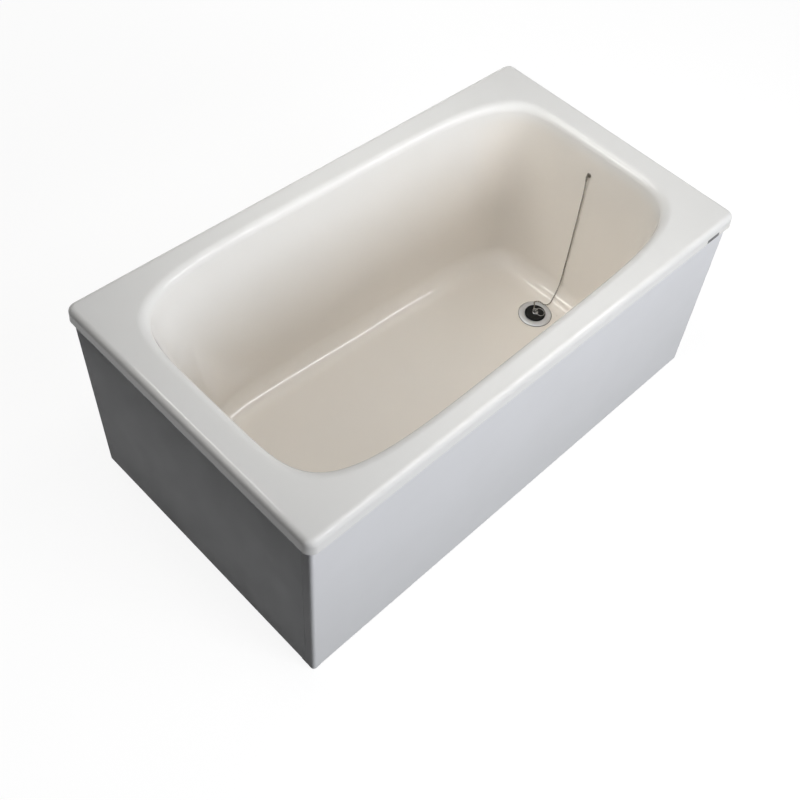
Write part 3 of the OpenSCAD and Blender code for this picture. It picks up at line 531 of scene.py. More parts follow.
# %% Wire helpers
def spun_ring(bm, radius, wire, frame_of, around=48, sides=14):
    """A wire ring about the Z axis of frame_of, sizes in mm."""
    hoop = bmesh.ops.create_circle(bm, segments=sides, radius=wire * MM,
                                   matrix=Matrix.Translation((radius * MM, 0, 0))
                                   @ Matrix.Rotation(QUARTER, 4, "X"))
    made = spin_full(bm, hoop["verts"], around)
    bmesh.ops.transform(bm, matrix=frame_of, verts=made)


def spin_full(bm, verts, around, axis=(0, 0, 1), centre=(0, 0, 0)):
    """Spins the edges among some vertices once round an axis and returns all their vertices."""
    before = set(bm.verts) - set(verts)
    edges = [e for e in bm.edges if e.verts[0] in verts and e.verts[1] in verts]
    bmesh.ops.spin(bm, geom=list(verts) + edges, cent=centre, axis=axis, angle=math.tau,
                   steps=around, use_merge=True, use_duplicate=False)
    bm.normal_update()
    return [v for v in bm.verts if v not in before]


def settle(bm, tiny=0.004):
    """Merges doubles and turns all faces outwards."""
    bmesh.ops.remove_doubles(bm, verts=bm.verts[:], dist=tiny * MM)
    bmesh.ops.recalc_face_normals(bm, faces=bm.faces[:])


def turned(bm, profile, at, around=96, turn=None):
    """A turned part from a closed profile of (radius, height) in mm, set at a point in mm."""
    place = Matrix.Translation(Vector(at) * MM) @ (turn or Matrix.Identity(4))
    verts = [bm.verts.new((r * MM, 0, z * MM)) for r, z in profile]
    for a, b in zip(verts, verts[1:] + verts[:1]):
        bm.edges.new((a, b))
    made = spin_full(bm, verts, around)
    bmesh.ops.transform(bm, matrix=place, verts=made)


def rounded(profile, radii, steps=4):
    """Rounds the corners of a closed profile; radii gives one radius for each corner."""
    out = []
    count = len(profile)
    for i, (point, radius) in enumerate(zip(profile, radii)):
        here = Vector(point)
        if radius <= 0:
            out.append(tuple(here))
            continue
        before = (Vector(profile[i - 1]) - here)
        after = (Vector(profile[(i + 1) % count]) - here)
        half = before.angle(after) / 2
        cut = min(radius / math.tan(half), 0.49 * before.length, 0.49 * after.length)
        start, end = here + before.normalized() * cut, here + after.normalized() * cut
        for k in range(steps + 1):
            s = k / steps
            out.append(tuple((1 - s) ** 2 * start + 2 * s * (1 - s) * here + s * s * end))
    return out


# %% [markdown]
# ## Balls on a wire
# The balls could be instances on a curve, but they are set one by one, so that the chain is one
# mesh. Each is turned along the route. The wire through them is a six-sided ring that is extruded
# from point to point.

# %% Ball chain
BALL_PITCH, WIRE_R = 5.6, 0.4
WIRE_SIDES, BALL_AROUND, BALL_RINGS = 6, 12, 8


def along(path, pitch):
    """Points at an even pitch along a path, with the direction at each."""
    spots, run, need = [], 0.0, pitch / 2
    for a, b in zip(path, path[1:]):
        step = (b - a).length
        while need <= run + step:
            spots.append((a.lerp(b, (need - run) / step), (b - a).normalized()))
            need += pitch
        run += step
    return spots


def grow_wire(bm, route):
    """Extrudes a small ring of points along a route, square to it at every step."""
    balls = set(bm.verts)
    ring = bmesh.ops.create_circle(bm, segments=WIRE_SIDES, radius=WIRE_R * MM)["verts"]
    edges = [e for e in bm.edges if e.verts[0] not in balls]
    first = [v.co.copy() for v in ring]
    for i, where in enumerate(route):
        way = (route[min(i + 1, len(route) - 1)] - route[max(i - 1, 0)]).normalized()
        turn = way.to_track_quat("Z", "X").to_matrix()
        for v, start in zip(ring, first):
            v.co = where + turn @ start
        if i + 1 == len(route):
            break
        made = bmesh.ops.extrude_edge_only(bm, edges=edges)["geom"]
        partner = {}
        for v in (g for g in made if isinstance(g, bmesh.types.BMVert)):
            for e in v.link_edges:
                if e.other_vert(v) in ring:
                    partner[e.other_vert(v)] = v
        ring = [partner[v] for v in ring]
        edges = [e for e in made if isinstance(e, bmesh.types.BMEdge)
                 and e.verts[0] in ring and e.verts[1] in ring]


def make_chain():
    """The balls and the wire as one mesh, which runs between the shell and the plug."""
    bm = bmesh.new()
    spots = along(chain_path, BALL_PITCH * MM)
    for where, way in spots:
        turn = way.to_track_quat("Z", "X").to_matrix().to_4x4()
        bmesh.ops.create_uvsphere(bm, u_segments=BALL_AROUND, v_segments=BALL_RINGS,
                                  radius=CHAIN_R * MM, matrix=Matrix.Translation(where) @ turn)
    grow_wire(bm, chain_path[::2] + [chain_path[-1]] * (len(chain_path) % 2 == 0))
    print(len(spots), "balls")
    return make_piece("chain_of_balls", bm, [chain_metal], "chain_metal", None, "ball_chain",
                      sharp=math.radians(80))


chain = make_chain()

# %% [markdown]
# ## The two links
# Each end of the chain is gripped by a short ferrule on a small wire ring. The upper ring hangs
# in the wall anchor's eye, and the lower one in the eye of the plug.

# %% Links
def make_link(name, node, at, turn, body, finish, slot):
    """A wire ring with the ferrule that grips the chain beside it."""
    bm = bmesh.new()
    place = Matrix.Translation(Vector(at) * MM) @ turn
    spun_ring(bm, LINK_R, LINK_WIRE, place)
    r, n = FERRULE_R, FERRULE_LEN
    grip = rounded([(0.05, 0), (r * 0.62, 0), (r, 1.6), (r, n - 0.9), (r * 0.7, n), (0.05, n)],
                   [0, 0.4, 0.8, 0.6, 0.4, 0])
    slant = place @ Matrix.Translation((LINK_R * MM, 0, 0)) @ Matrix.Rotation(QUARTER, 4, "Y")
    turned(bm, grip, (0, 0, 0), 28, slant)
    settle(bm)
    return make_piece(name, bm, [finish], slot, body, node)


LINK_DIP = 25.0
ANCHOR_LINK_AT = (ANCHOR_EYE.x, ANCHOR_EYE.y, 460.06)
plug_turn = (Matrix.Rotation(math.radians(EYE_TURN), 4, "Z")
             @ Matrix.Rotation(math.radians(LINK_DIP), 4, "Y"))
plug_link = make_link("link_at_plug", "plug_link", PLUG_LINK_AT, plug_turn, "plug",
                      bright_metal, "bright_metal")
anchor_link = make_link("link_at_anchor", "anchor_link", ANCHOR_LINK_AT,
                        Matrix.Rotation(QUARTER, 4, "Y"), "root", anchor_metal, "anchor_metal")

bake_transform(chain)

# %% [markdown]
# ## The shell
# The shell is one skin that runs from the hanging lip over the rim, down the walls and across the
# floor to the drain hole, and back underneath at a constant thickness. One loop of points is
# extruded again and again, and after each step the new points are moved to the next line of the
# profile. That gives clean long quads, which a sculpted or subdivided block would not.

# %% Outlines of the basin
COLUMNS, FINE_STEPS = 84, 4000


def squared(c, e):
    """Pushes a sine or cosine outwards, so that an oval gets square shoulders."""
    return math.copysign(abs(c) ** (2 / e), c)


def oval(t, head, foot, half, taper, ex, ey, g):
    """Point of a squared oval at angle t, grown outwards by g."""
    reach, middle = (head + foot) / 2 + g, (foot - head) / 2
    x = middle + reach * squared(math.cos(t), ex)
    return Vector((x, OPEN_Y + (half + g - taper * x) * squared(math.sin(t), ey)))


def open_pt(t, g):
    return oval(t, OPEN_HEAD, OPEN_FOOT, OPEN_HALF, RIM_TAPER, END_SQUARE, SIDE_SQUARE, g)


def floor_pt(t, g):
    return oval(t, FLOOR_HEAD, FLOOR_FOOT, FLOOR_HALF, FLOOR_TAPER, FLOOR_SQUARE, FLOOR_SQUARE, g)


def lean(t):
    """The wall's angle from upright at angle t."""
    run = (open_pt(t, 0) - floor_pt(t, 0)).length - 0.9 * ROLL_R
    return math.atan(run / (RIM_H - FLOOR_Z))


def floor_at(x):
    """Height of the basin floor, which falls gently to the drain."""
    return FLOOR_Z + FLOOR_FALL * (DRAIN.x - x)


def even_angles():
    """Angles at which columns are evenly spaced along the opening, quadrant by quadrant."""
    angles = []
    for quadrant in range(4):
        start = quadrant * QUARTER
        fine = [start + QUARTER * (0.5 - 0.5 * math.cos(math.pi * i / FINE_STEPS))
                for i in range(FINE_STEPS + 1)]
        runs = [0.0]
        for a, b in zip(fine, fine[1:]):
            runs.append(runs[-1] + (open_pt(b, 0) - open_pt(a, 0)).length)
        at = 0
        for k in range(COLUMNS):
            wanted = runs[-1] * k / COLUMNS
            while runs[at + 1] < wanted:
                at += 1
            part = (wanted - runs[at]) / max(runs[at + 1] - runs[at], 1e-9)
            angles.append(fine[at] + part * (fine[at + 1] - fine[at]))
    return angles


ANGLES = even_angles()
print(len(ANGLES), "columns round the basin")

# %% [markdown]
# ## The lines that the skin follows
# The shell's section is a chain of arcs and straight stretches: lip, rim edge, flat rim, rolled
# edge, wall, cove and floor. Each function below gives one line round the tub, at a share of its
# stretch and at a depth under the gelcoat. The same function then serves both sides of the skin.

# %% Profile lines of the shell
# Share of each eighth of the outline that is straight; its corner takes the rest
STRAIGHT = 0.82
LIP_FOOT_R = 1.2
FLOOR_RING_R, DRAIN_EDGE_R = 60.0, 47.4


def outer_pt(k, grow, z):
    """Point of the rim's outer outline in column k: a rectangle with small round corners."""
    quadrant, s = divmod(k, COLUMNS)
    s = s / COLUMNS
    if quadrant % 2:
        s = 1 - s
    sx = 1 if quadrant in (0, 3) else -1
    sy = 1 if quadrant < 2 else -1
    r = CORNER_R + grow
    cx, cy = RIM_HX - CORNER_R, RIM_HY - CORNER_R
    if s <= 0.5:
        part = min(2 * s / STRAIGHT, 1)
        turn = max(2 * s - STRAIGHT, 0) / (1 - STRAIGHT) * math.pi / 4
        x, y = cx + r * math.cos(turn), cy * part + r * math.sin(turn)
    else:
        part = min(2 * (1 - s) / STRAIGHT, 1)
        turn = max(2 * (1 - s) - STRAIGHT, 0) / (1 - STRAIGHT) * math.pi / 4
        x, y = cx * part + r * math.sin(turn), cy + r * math.cos(turn)
    return Vector((sx * x, sy * y, z))


def lip_line(s, off):
    """Hanging lip from its lower to its upper edge; off is the depth under the gelcoat."""
    return lambda k: outer_pt(k, LIP_FLARE * (1 - s) - off, LIP_Z + s * (RIM_H - EDGE_R - LIP_Z))


def lip_foot_line(a, inner):
    """The lip's lower edge, rounded to a small radius."""
    r = LIP_FOOT_R
    shift = (-SHELL_T + r) if inner else -r
    out = -math.sin(a) if inner else math.cos(a)
    down = math.cos(a) if inner else math.sin(a)
    return lambda k: outer_pt(k, LIP_FLARE + shift + r * out, LIP_Z + r - r * down)


def edge_line(a, off):
    """Rounded outer edge of the rim at angle a."""
    r = EDGE_R - off
    return lambda k: outer_pt(k, r * math.cos(a) - EDGE_R, RIM_H - EDGE_R + r * math.sin(a))


def rim_line(s, off):
    """Flat rim between its outer edge and the opening; s runs from 0 to 1."""
    def point(k):
        outside = outer_pt(k, -EDGE_R, RIM_H - off)
        inside = open_pt(ANGLES[k], 0).to_3d()
        inside.z = RIM_H - off
        return outside.lerp(inside, s)
    return point


def roll_line(s, off):
    """Rolled inner edge, from the flat rim to the top of the wall."""
    def point(k):
        t = ANGLES[k]
        a = s * (QUARTER - lean(t))
        p = open_pt(t, -(ROLL_R - off) * math.sin(a))
        return Vector((p.x, p.y, RIM_H - ROLL_R + (ROLL_R - off) * math.cos(a)))
    return point


def cove_line(s, off):
    """Cove between the wall and the floor."""
    def point(k):
        t = ANGLES[k]
        d = lean(t)
        a = d + s * (QUARTER - d)
        inset = COVE_R * (1 - math.sin(d)) / math.cos(d) - (COVE_R + off) * math.cos(a)
        p = floor_pt(t, -inset)
        return Vector((p.x, p.y, floor_at(p.x) + COVE_R - (COVE_R + off) * math.sin(a)))
    return point


def wall_line(s, off):
    """Wall between the rolled edge and the cove."""
    top, low = roll_line(1, off), cove_line(0, off)
    return lambda k: top(k).lerp(low(k), s)


def drain_line(radius, height, off=None):
    """Circle about the drain; at a fixed height, or on the sloping floor where off is given."""
    edge = cove_line(1, 0)

    def point(k):
        away = edge(k) - DRAIN
        away.z = 0
        p = DRAIN + away.normalized() * radius
        p.z = height if off is None else floor_at(p.x) - off
        return p
    return point


def floor_line(s, off, radius):
    """Line on the basin floor, part of the way from the cove to the drain circle."""
    far, near = cove_line(1, off), drain_line(radius, 0, off)
    return lambda k: far(k).lerp(near(k), s)


def shares(count, first=True):
    """Even shares from 0 to 1."""
    return [i / count for i in range(0 if first else 1, count + 1)]


def face_lines():
    """All lines on the gelcoat side, from the lip's lower edge to the drain hole."""
    lines = [lip_foot_line(QUARTER * s, False) for s in (1, 0.66, 0.33, 0)]
    lines += [lip_line(s, 0) for s in (0.06, 0.3, 0.6, 0.9, 1)]
    lines += [edge_line(QUARTER * s, 0) for s in shares(12, False)]
    lines += [rim_line(s, 0) for s in (0.06, 0.35, 0.65, 0.94, 1)]
    lines += [roll_line(s, 0) for s in shares(14, False)]
    lines += [wall_line(s, 0) for s in shares(14, False)]
    lines += [cove_line(s, 0) for s in shares(18, False)]
    lines += [floor_line(s, 0, FLOOR_RING_R) for s in (0.03, 0.12, 0.25, 0.4, 0.55, 0.7, 0.85, 1)]
    return lines + [drain_line(DRAIN_EDGE_R, 0, 0), drain_line(SPOT_R, 0, 0.25),
                    drain_line(SPOT_R, SPOT_TOP), drain_line(HOLE_R, SPOT_TOP)]


def back_lines():
    """All lines on the laminate side, from the drain hole back to the lip."""
    t = SHELL_T
    lines = [drain_line(HOLE_R, SPOT_LOW), drain_line(SPOT_BACK_R, SPOT_LOW),
             drain_line(SPOT_BACK_R, 0, t)]
    lines += [floor_line(s, t, FLOOR_RING_R) for s in (1, 0.6, 0.2)]
    lines += [cove_line(s, t) for s in reversed(shares(9))]
    lines += [wall_line(s, t) for s in (0.75, 0.5, 0.25)]
    lines += [roll_line(s, t) for s in reversed(shares(7))]
    lines += [rim_line(s, t) for s in (0.94, 0.5, 0.06)]
    lines += [edge_line(QUARTER * s, t) for s in reversed(shares(6))]
    lines += [lip_line(s, t) for s in (0.7, 0.35, 0.06)]
    return lines + [lip_foot_line(QUARTER * s, True) for s in (1, 0.66, 0.33, 0)]


# %% [markdown]
# ## Extruding the skin
# Every vertex keeps the number of its column and its row in integer layers of the bmesh. So each
# new loop can be moved to its line by number, whatever order the operator returns it in.

# %% Extruding the shell line by line
def loft(bm, lines):
    """One closed loop, extruded once for each further line and closed into a solid skin."""
    column = bm.verts.layers.int.new("column")
    row = bm.verts.layers.int.new("row")
    made = bmesh.ops.create_circle(bm, segments=len(ANGLES), radius=1)["verts"]
    made.sort(key=lambda v: math.atan2(v.co.y, v.co.x) % math.tau)
    for k, v in enumerate(made):
        v[column] = k
        v[row] = 0
        v.co = lines[0](k) * MM
    edges = bm.edges[:]
    first = edges
    for i, line in enumerate(lines[1:], 1):
        geom = bmesh.ops.extrude_edge_only(bm, edges=edges)["geom"]
        new = {g for g in geom if isinstance(g, bmesh.types.BMVert)}
        for v in new:
            v[row] = i
            v.co = line(v[column]) * MM
        edges = [g for g in geom if isinstance(g, bmesh.types.BMEdge)
                 and g.verts[0] in new and g.verts[1] in new]
    bmesh.ops.bridge_loops(bm, edges=first + edges)
    return column, row


# %% [markdown]
# ## A pocket in the lip
# The lip's face is cut along the pocket's four sides, and the faces inside are extruded inwards.
# A boolean would do it too, but it leaves long thin faces that shade badly.

# %% Pocket for the plate
PLATE_X, PLATE_LEN, PLATE_H, PLATE_UP, POCKET = 568.5, 46.0, 11.0, 1.5, 0.8
LIP_SLOPE = math.atan(LIP_FLARE / (RIM_H - EDGE_R - LIP_Z))


def cut_plate_pocket(bm):
    """Sinks the small pocket for the plate into the face of the front lip."""
    up = Vector((0, math.sin(LIP_SLOPE), math.cos(LIP_SLOPE)))
    out = Vector((0, -math.cos(LIP_SLOPE), math.sin(LIP_SLOPE)))
    foot = Vector((0, -(RIM_HY + LIP_FLARE), LIP_Z))
    planes = [(Vector((PLATE_X + side * PLATE_LEN / 2, 0, 0)), Vector((1, 0, 0)))
              for side in (-1, 1)]
    planes += [(foot + up * PLATE_UP, up), (foot + up * (PLATE_UP + PLATE_H), up)]

    def on_lip():
        return [f for f in bm.faces if f.normal.dot(out) > 0.999
                and f.calc_center_median().y < -(RIM_HY - 1) * MM
                and LIP_Z * MM < f.calc_center_median().z < (RIM_H - EDGE_R) * MM]
    bm.normal_update()
    for spot, way in planes:
        faces = on_lip()
        geom = faces + list({e for f in faces for e in f.edges})
        geom += list({v for f in faces for v in f.verts})
        bmesh.ops.bisect_plane(bm, geom=geom, plane_co=spot * MM, plane_no=way)
        bm.normal_update()
    inside = []
    for f in on_lip():
        middle = f.calc_center_median() / MM - foot
        across = abs(middle.x - PLATE_X) < PLATE_LEN / 2
        if across and PLATE_UP < middle.dot(up) < PLATE_UP + PLATE_H:
            inside.append(f)
    pushed = bmesh.ops.extrude_face_region(bm, geom=inside)["geom"]
    verts = [g for g in pushed if isinstance(g, bmesh.types.BMVert)]
    bmesh.ops.delete(bm, geom=[f for f in inside if f.is_valid], context="FACES_ONLY")
    bmesh.ops.translate(bm, vec=-out * POCKET * MM, verts=verts)
    return len(inside)


# %% The shell itself
def make_shell():
    """The whole skin, with gelcoat on its face and laminate on its back."""
    bm = bmesh.new()
    face, back = face_lines(), back_lines()
    column, row = loft(bm, face + back)
    split = len(face)
    for f in bm.faces:
        rows = [v[row] for v in f.verts]
        wraps = max(rows) - min(rows) > 1
        f.material_index = 1 if not wraps and max(rows) > split and min(rows) >= split else 0
    bmesh.ops.recalc_face_normals(bm, faces=bm.faces[:])
    print("pocket faces", cut_plate_pocket(bm))
    bm.normal_update()
    return make_piece("moulded_shell", bm, [gelcoat, laminate], "gelcoat", "root", "tub_shell",
                      sharp=math.radians(48))


make_shell()

# %% [markdown]
# ## The panels
# A panel is thin coated sheet with its long edges bent inwards. An edge chain is extruded along
# the plan, round the upright corner, and the bends are extruded from its upper and lower borders.
# Solidify gives the sheet its thickness, and a small bevel takes the hardness off its cut edges.

# %% Panels
BEND_R, BEND_STEPS, TOP_FLANGE, BASE_FLANGE = 3.0, 4, 14.0, 20.0
NOTCH_Z = LIP_Z - 0.5
MIDDLE_ROWS = [140, 265, 390]


def extrude_to(bm, edges, move):
    """Extrudes edges and moves the new points by a function of their place in mm."""
    geom = bmesh.ops.extrude_edge_only(bm, edges=edges)["geom"]
    new = {g for g in geom if isinstance(g, bmesh.types.BMVert)}
    for v in new:
        v.co = move(v.co / MM) * MM
    return [g for g in geom if isinstance(g, bmesh.types.BMEdge)
            and g.verts[0] in new and g.verts[1] in new]


def border_at(bm, z, keep):
    """Open edges at a height in mm whose points all pass a test."""
    return [e for e in bm.edges if e.is_boundary
            and all(abs(v.co.z / MM - z) < 1e-3 and keep(v.co / MM) for v in e.verts)]


def bend_in(bm, edges, inwards, sign, flange):
    """Bends a border through a quarter turn and runs it inwards as a flange."""
    for k in range(BEND_STEPS):
        a, b = QUARTER * k / BEND_STEPS, QUARTER * (k + 1) / BEND_STEPS
        along_in = BEND_R * (math.cos(a) - math.cos(b))
        up = BEND_R * (math.sin(b) - math.sin(a)) * sign
        edges = extrude_to(bm, edges, lambda p: p + inwards * along_in + Vector((0, 0, up)))
    extrude_to(bm, edges, lambda p: p + inwards * (flange - BEND_R))


def cut_notch(bm, way, start):
    """Cuts the upper free corner away, where the rim's rolled corner comes down."""
    for spot, normal in ((way * start, way), (Vector((0, 0, NOTCH_Z)), Vector((0, 0, 1)))):
        geom = bm.verts[:] + bm.edges[:] + bm.faces[:]
        bmesh.ops.bisect_plane(bm, geom=geom, plane_co=spot * MM, plane_no=normal)
    gone = [f for f in bm.faces if f.calc_center_median().dot(way) > start * MM
            and f.calc_center_median().z > NOTCH_Z * MM]
    bmesh.ops.delete(bm, geom=gone, context="FACES")
    return len(gone)


def make_panel(name, node, plan, flanged, inwards, along, notch):
    """A bent sheet that follows a plan line; flanged says which points carry the flanges."""
    bm = bmesh.new()
    low, top = PANEL_LOW + BEND_R, PANEL_TOP - BEND_R
    heights = [low, low + 2, *MIDDLE_ROWS, top - 2, top]
    chain_up = [bm.verts.new((*(Vector(plan[0]) * MM), z * MM)) for z in heights]
    edges = [bm.edges.new(pair) for pair in zip(chain_up, chain_up[1:])]
    for a, b in zip(plan, plan[1:]):
        step = Vector((b[0] - a[0], b[1] - a[1], 0))
        edges = extrude_to(bm, edges, lambda p: p + step)
    for z, sign, flange in ((low, -1, BASE_FLANGE), (top, 1, TOP_FLANGE)):
        bend_in(bm, border_at(bm, z, flanged), inwards, sign, flange)
        plain = border_at(bm, z, lambda p: not flanged(p) or is_end_of(p, flanged))
        extrude_to(bm, plain, lambda p: p + Vector((0, 0, sign * BEND_R)))
    print(name, "notch faces", cut_notch(bm, along, notch))
    bmesh.ops.recalc_face_normals(bm, faces=bm.faces[:])
    front = max(bm.faces, key=lambda f: f.calc_area())
    if front.normal.dot(inwards) > 0:
        bmesh.ops.reverse_faces(bm, faces=bm.faces[:])
    panel = make_piece(name, bm, [panel_coat], "panel_coat", "root", node,
                       sharp=math.radians(40))
    thick = panel.modifiers.new("sheet", "SOLIDIFY")
    thick.thickness = PANEL_T * MM
    thick.offset = -1
    soften(panel, "cut_edges", 0.5, 50)
    return panel


def is_end_of(p, flanged):
    """True where the flanges begin, so that the plain part meets them without a gap."""
    return not flanged(p - Vector((1, 1, 0)))


# %% [markdown]
# ## Front and head-end panels
# The front panel turns the upright corner and ends in a short return. The head-end panel starts
# there, with a fine joint between them. Their flanges stop short of the corner, because a bent
# edge can't turn it. Each panel's upper free corner is notched where the rim comes down.

# %% Front panel
FLANGE_FROM = PANEL_X + PANEL_R + 12
front_plan = [(PANEL_RIGHT, PANEL_Y), (PANEL_RIGHT - 4, PANEL_Y), (215, PANEL_Y), (-215, PANEL_Y),
              (FLANGE_FROM, PANEL_Y)]
corner = Vector((PANEL_X + PANEL_R, PANEL_Y + PANEL_R))
front_plan += [(corner.x - PANEL_R * math.sin(a), corner.y - PANEL_R * math.cos(a))
               for a in (QUARTER * k / 10 for k in range(11))]
front_plan += [(PANEL_X, RETURN_Y)]
make_panel("front_skin", "front_panel", front_plan, lambda p: p.x >= FLANGE_FROM - 1e-3,
           Vector((0, 1, 0)), Vector((1, 0, 0)), RIM_HX - CORNER_R)

# %% End panel
end_from = RETURN_Y + 0.5
end_plan = [(PANEL_X, end_from), (PANEL_X, end_from + 12), (PANEL_X, 0), (PANEL_X, 180),
            (PANEL_X, PANEL_BACK - 4), (PANEL_X, PANEL_BACK)]
make_panel("end_skin", "end_panel", end_plan, lambda p: p.y >= end_from + 12 - 1e-3,
           Vector((1, 0, 0)), Vector((0, 1, 0)), RIM_HY - CORNER_R)

# %% [markdown]
# ## The plate on the lip
# A small plain plate sits in a pocket of the lip near the drain end. It is a thin block with
# softened edges, a little smaller than its pocket, so that a fine line shows round it.

# %% Blank plate
PLATE_GAP, PLATE_T, PLATE_SINK = 0.4, 0.8, 0.42


def make_plate():
    """The plate, tilted as the lip's face is."""
    bm = bmesh.new()
    size = Matrix.Diagonal(((PLATE_LEN - PLATE_GAP) * MM, (PLATE_H - PLATE_GAP) * MM,
                            PLATE_T * MM, 1))
    place = (Matrix.Translation((0, -(RIM_HY + LIP_FLARE) * MM, LIP_Z * MM))
             @ Matrix.Rotation(QUARTER - LIP_SLOPE, 4, "X")
             @ Matrix.Translation((PLATE_X * MM, (PLATE_UP + PLATE_H / 2) * MM,
                                   -PLATE_SINK * MM)))
    bmesh.ops.create_cube(bm, size=1, matrix=place @ size)
    bmesh.ops.bevel(bm, geom=bm.edges[:], offset=0.25 * MM, segments=3, profile=0.5,
                    affect="EDGES", material=-1)
    return make_piece("plate_on_lip", bm, [plate_grey], "plate_grey", "root", "blank_plate")


make_plate()

# %% [markdown]
# ## The drain
# The flange with its seat and tail is turned from one piece, so its profile is spun once round the
# drain's middle, with slightly rounded edges. A few plain rings on the tail stand for its thread,
# because a true spiral would add many faces that nobody sees from above.

# %% Drain flange
def over_drain(z):
    """A place on the drain's middle line, z in mm."""
    return Matrix.Translation((DRAIN.x * MM, DRAIN.y * MM, z * MM))


def make_turned(name, node, profile, radii, finish, slot, around=96):
    """A piece that is turned about the drain's middle and stays on the shell."""
    bm = bmesh.new()
    turned(bm, rounded(profile, radii), (DRAIN.x, DRAIN.y, 0), around)
    settle(bm)
    return make_piece(name, bm, [finish], slot, "root", node)


SEAT_LOW_R = PLUG_LOW_R + 0.08
SEAT_R = SEAT_LOW_R + PLUG_CONE * (FLANGE_TOP - PLUG_Z)
THREAD_PITCH, THREAD_DEPTH, THREAD_TURNS = 1.5, 0.7, 5
thread = []
for k in range(THREAD_TURNS):
    z = SPIGOT_TOP + 1 + THREAD_PITCH * k
    thread += [(TAIL_R, z), (TAIL_R - THREAD_DEPTH, z + THREAD_PITCH / 2)]
flange_profile = [(OUTLET_R, TAIL_LOW), (SPIGOT_R, TAIL_LOW), (SPIGOT_R, SPIGOT_TOP)] + thread
flange_profile += [(TAIL_R, SPIGOT_TOP + 8.5), (TAIL_R, FLANGE_UNDER), (FLANGE_R, FLANGE_UNDER),
                   (FLANGE_R, FLANGE_UNDER + 0.8), (FLANGE_R - 4, FLANGE_TOP),
                   (SEAT_R + 0.8, FLANGE_TOP), (SEAT_R - 0.1, FLANGE_TOP - 0.9),
                   (SEAT_LOW_R, PLUG_Z), (SEAT_LOW_R, LEDGE_Z), (OUTLET_R, LEDGE_Z)]
flange_radii = [0.5, 0.8, 0] + [0.1] * len(thread) + [0, 0, 0.3, 0.5, 3.0, 0.8, 0.8, 0.5, 0, 0.5]
make_turned("drain_ring", "drain_flange", flange_profile, flange_radii, drain_steel,
            "drain_steel", around=128)

# %% [markdown]
# ## The rings and the nut that hold the drain
# From the basin down: a gasket, the shell, a thicker gasket, a slip washer and the lock nut. The
# nut has eight lugs for the fitter's tool. All but the lugs are spun in the same way as the
# flange. The lugs are small bevelled blocks that sink into the nut's hub.

# %% Gaskets and slip washer
GASKET_R, UNDER_R, NUT_R, BORE_R = 45.9, 39.0, 38.0, 29.1
UNDER_T, SLIP_T = 2.4, 1.5
NUT_TOP = SPOT_LOW - UNDER_T - SLIP_T


def washer(outer, inner, low, high):
    """Profile of a flat ring."""
    return [(inner, low), (outer, low), (outer, high), (inner, high)]


make_turned("gasket_above", "drain_gasket", washer(GASKET_R, HOLE_R, SPOT_TOP, FLANGE_UNDER),
            [0.1, 0.4, 0.4, 0.1], seal_rubber, "seal_rubber")
make_turned("gasket_below", "under_gasket", washer(UNDER_R, BORE_R, SPOT_LOW - UNDER_T, SPOT_LOW),
            [0.2, 0.8, 0.8, 0.2], seal_rubber, "seal_rubber")
make_turned("slip_ring", "slip_washer", washer(NUT_R, BORE_R, NUT_TOP, NUT_TOP + SLIP_T),
            [0.2, 0.4, 0.4, 0.2], washer_plastic, "washer_plastic")

# %% Lock nut
NUT_H, NUT_HUB_R, NUT_RIM_T, LUGS = 10, 34, 3, 8
LUG_AT, LUG_DROP, LUG_SIZE = 34.6, 5.7, (4.6, 6.0, 6.4)


def make_lock_nut():
    """A turned nut with a rim above and eight lugs round its hub."""
    bm = bmesh.new()
    low, step = NUT_TOP - NUT_H, NUT_TOP - NUT_RIM_T
    profile = rounded([(BORE_R, low), (NUT_HUB_R, low), (NUT_HUB_R, step), (NUT_R, step),
                       (NUT_R, NUT_TOP), (BORE_R, NUT_TOP)], [0.5, 1.0, 0.6, 0.8, 0.5, 0.3])
    turned(bm, profile, (DRAIN.x, DRAIN.y, 0))
    settle(bm)
    middle = over_drain(NUT_TOP - LUG_DROP)
    size = Matrix.Diagonal((*(side * MM for side in LUG_SIZE), 1))
    for k in range(LUGS):
        place = (middle @ Matrix.Rotation(math.tau * (k + 0.5) / LUGS, 4, "Z")
                 @ Matrix.Translation((LUG_AT * MM, 0, 0)))
        lug = bmesh.ops.create_cube(bm, size=1, matrix=place @ size)["verts"]
        edges = list({e for v in lug for e in v.link_edges})
        bmesh.ops.bevel(bm, geom=edges, offset=0.7 * MM, segments=2, profile=0.5,
                        affect="EDGES", material=-1)
    return make_piece("nut_under_drain", bm, [nut_brass], "nut_brass", "root", "lock_nut")


make_lock_nut()

# %% [markdown]
# ## The plug
# The plug is a hollow cone of black rubber with a rounded shoulder. A metal stud through it
# carries a disc and an upright eye, and the pull ring hangs in that eye and lies on the rubber.

# %% Rubber plug
STUD_HOLE_R, PLUG_ROOF, PLUG_WALL, DISH_R = 2.6, 8, 6, 10


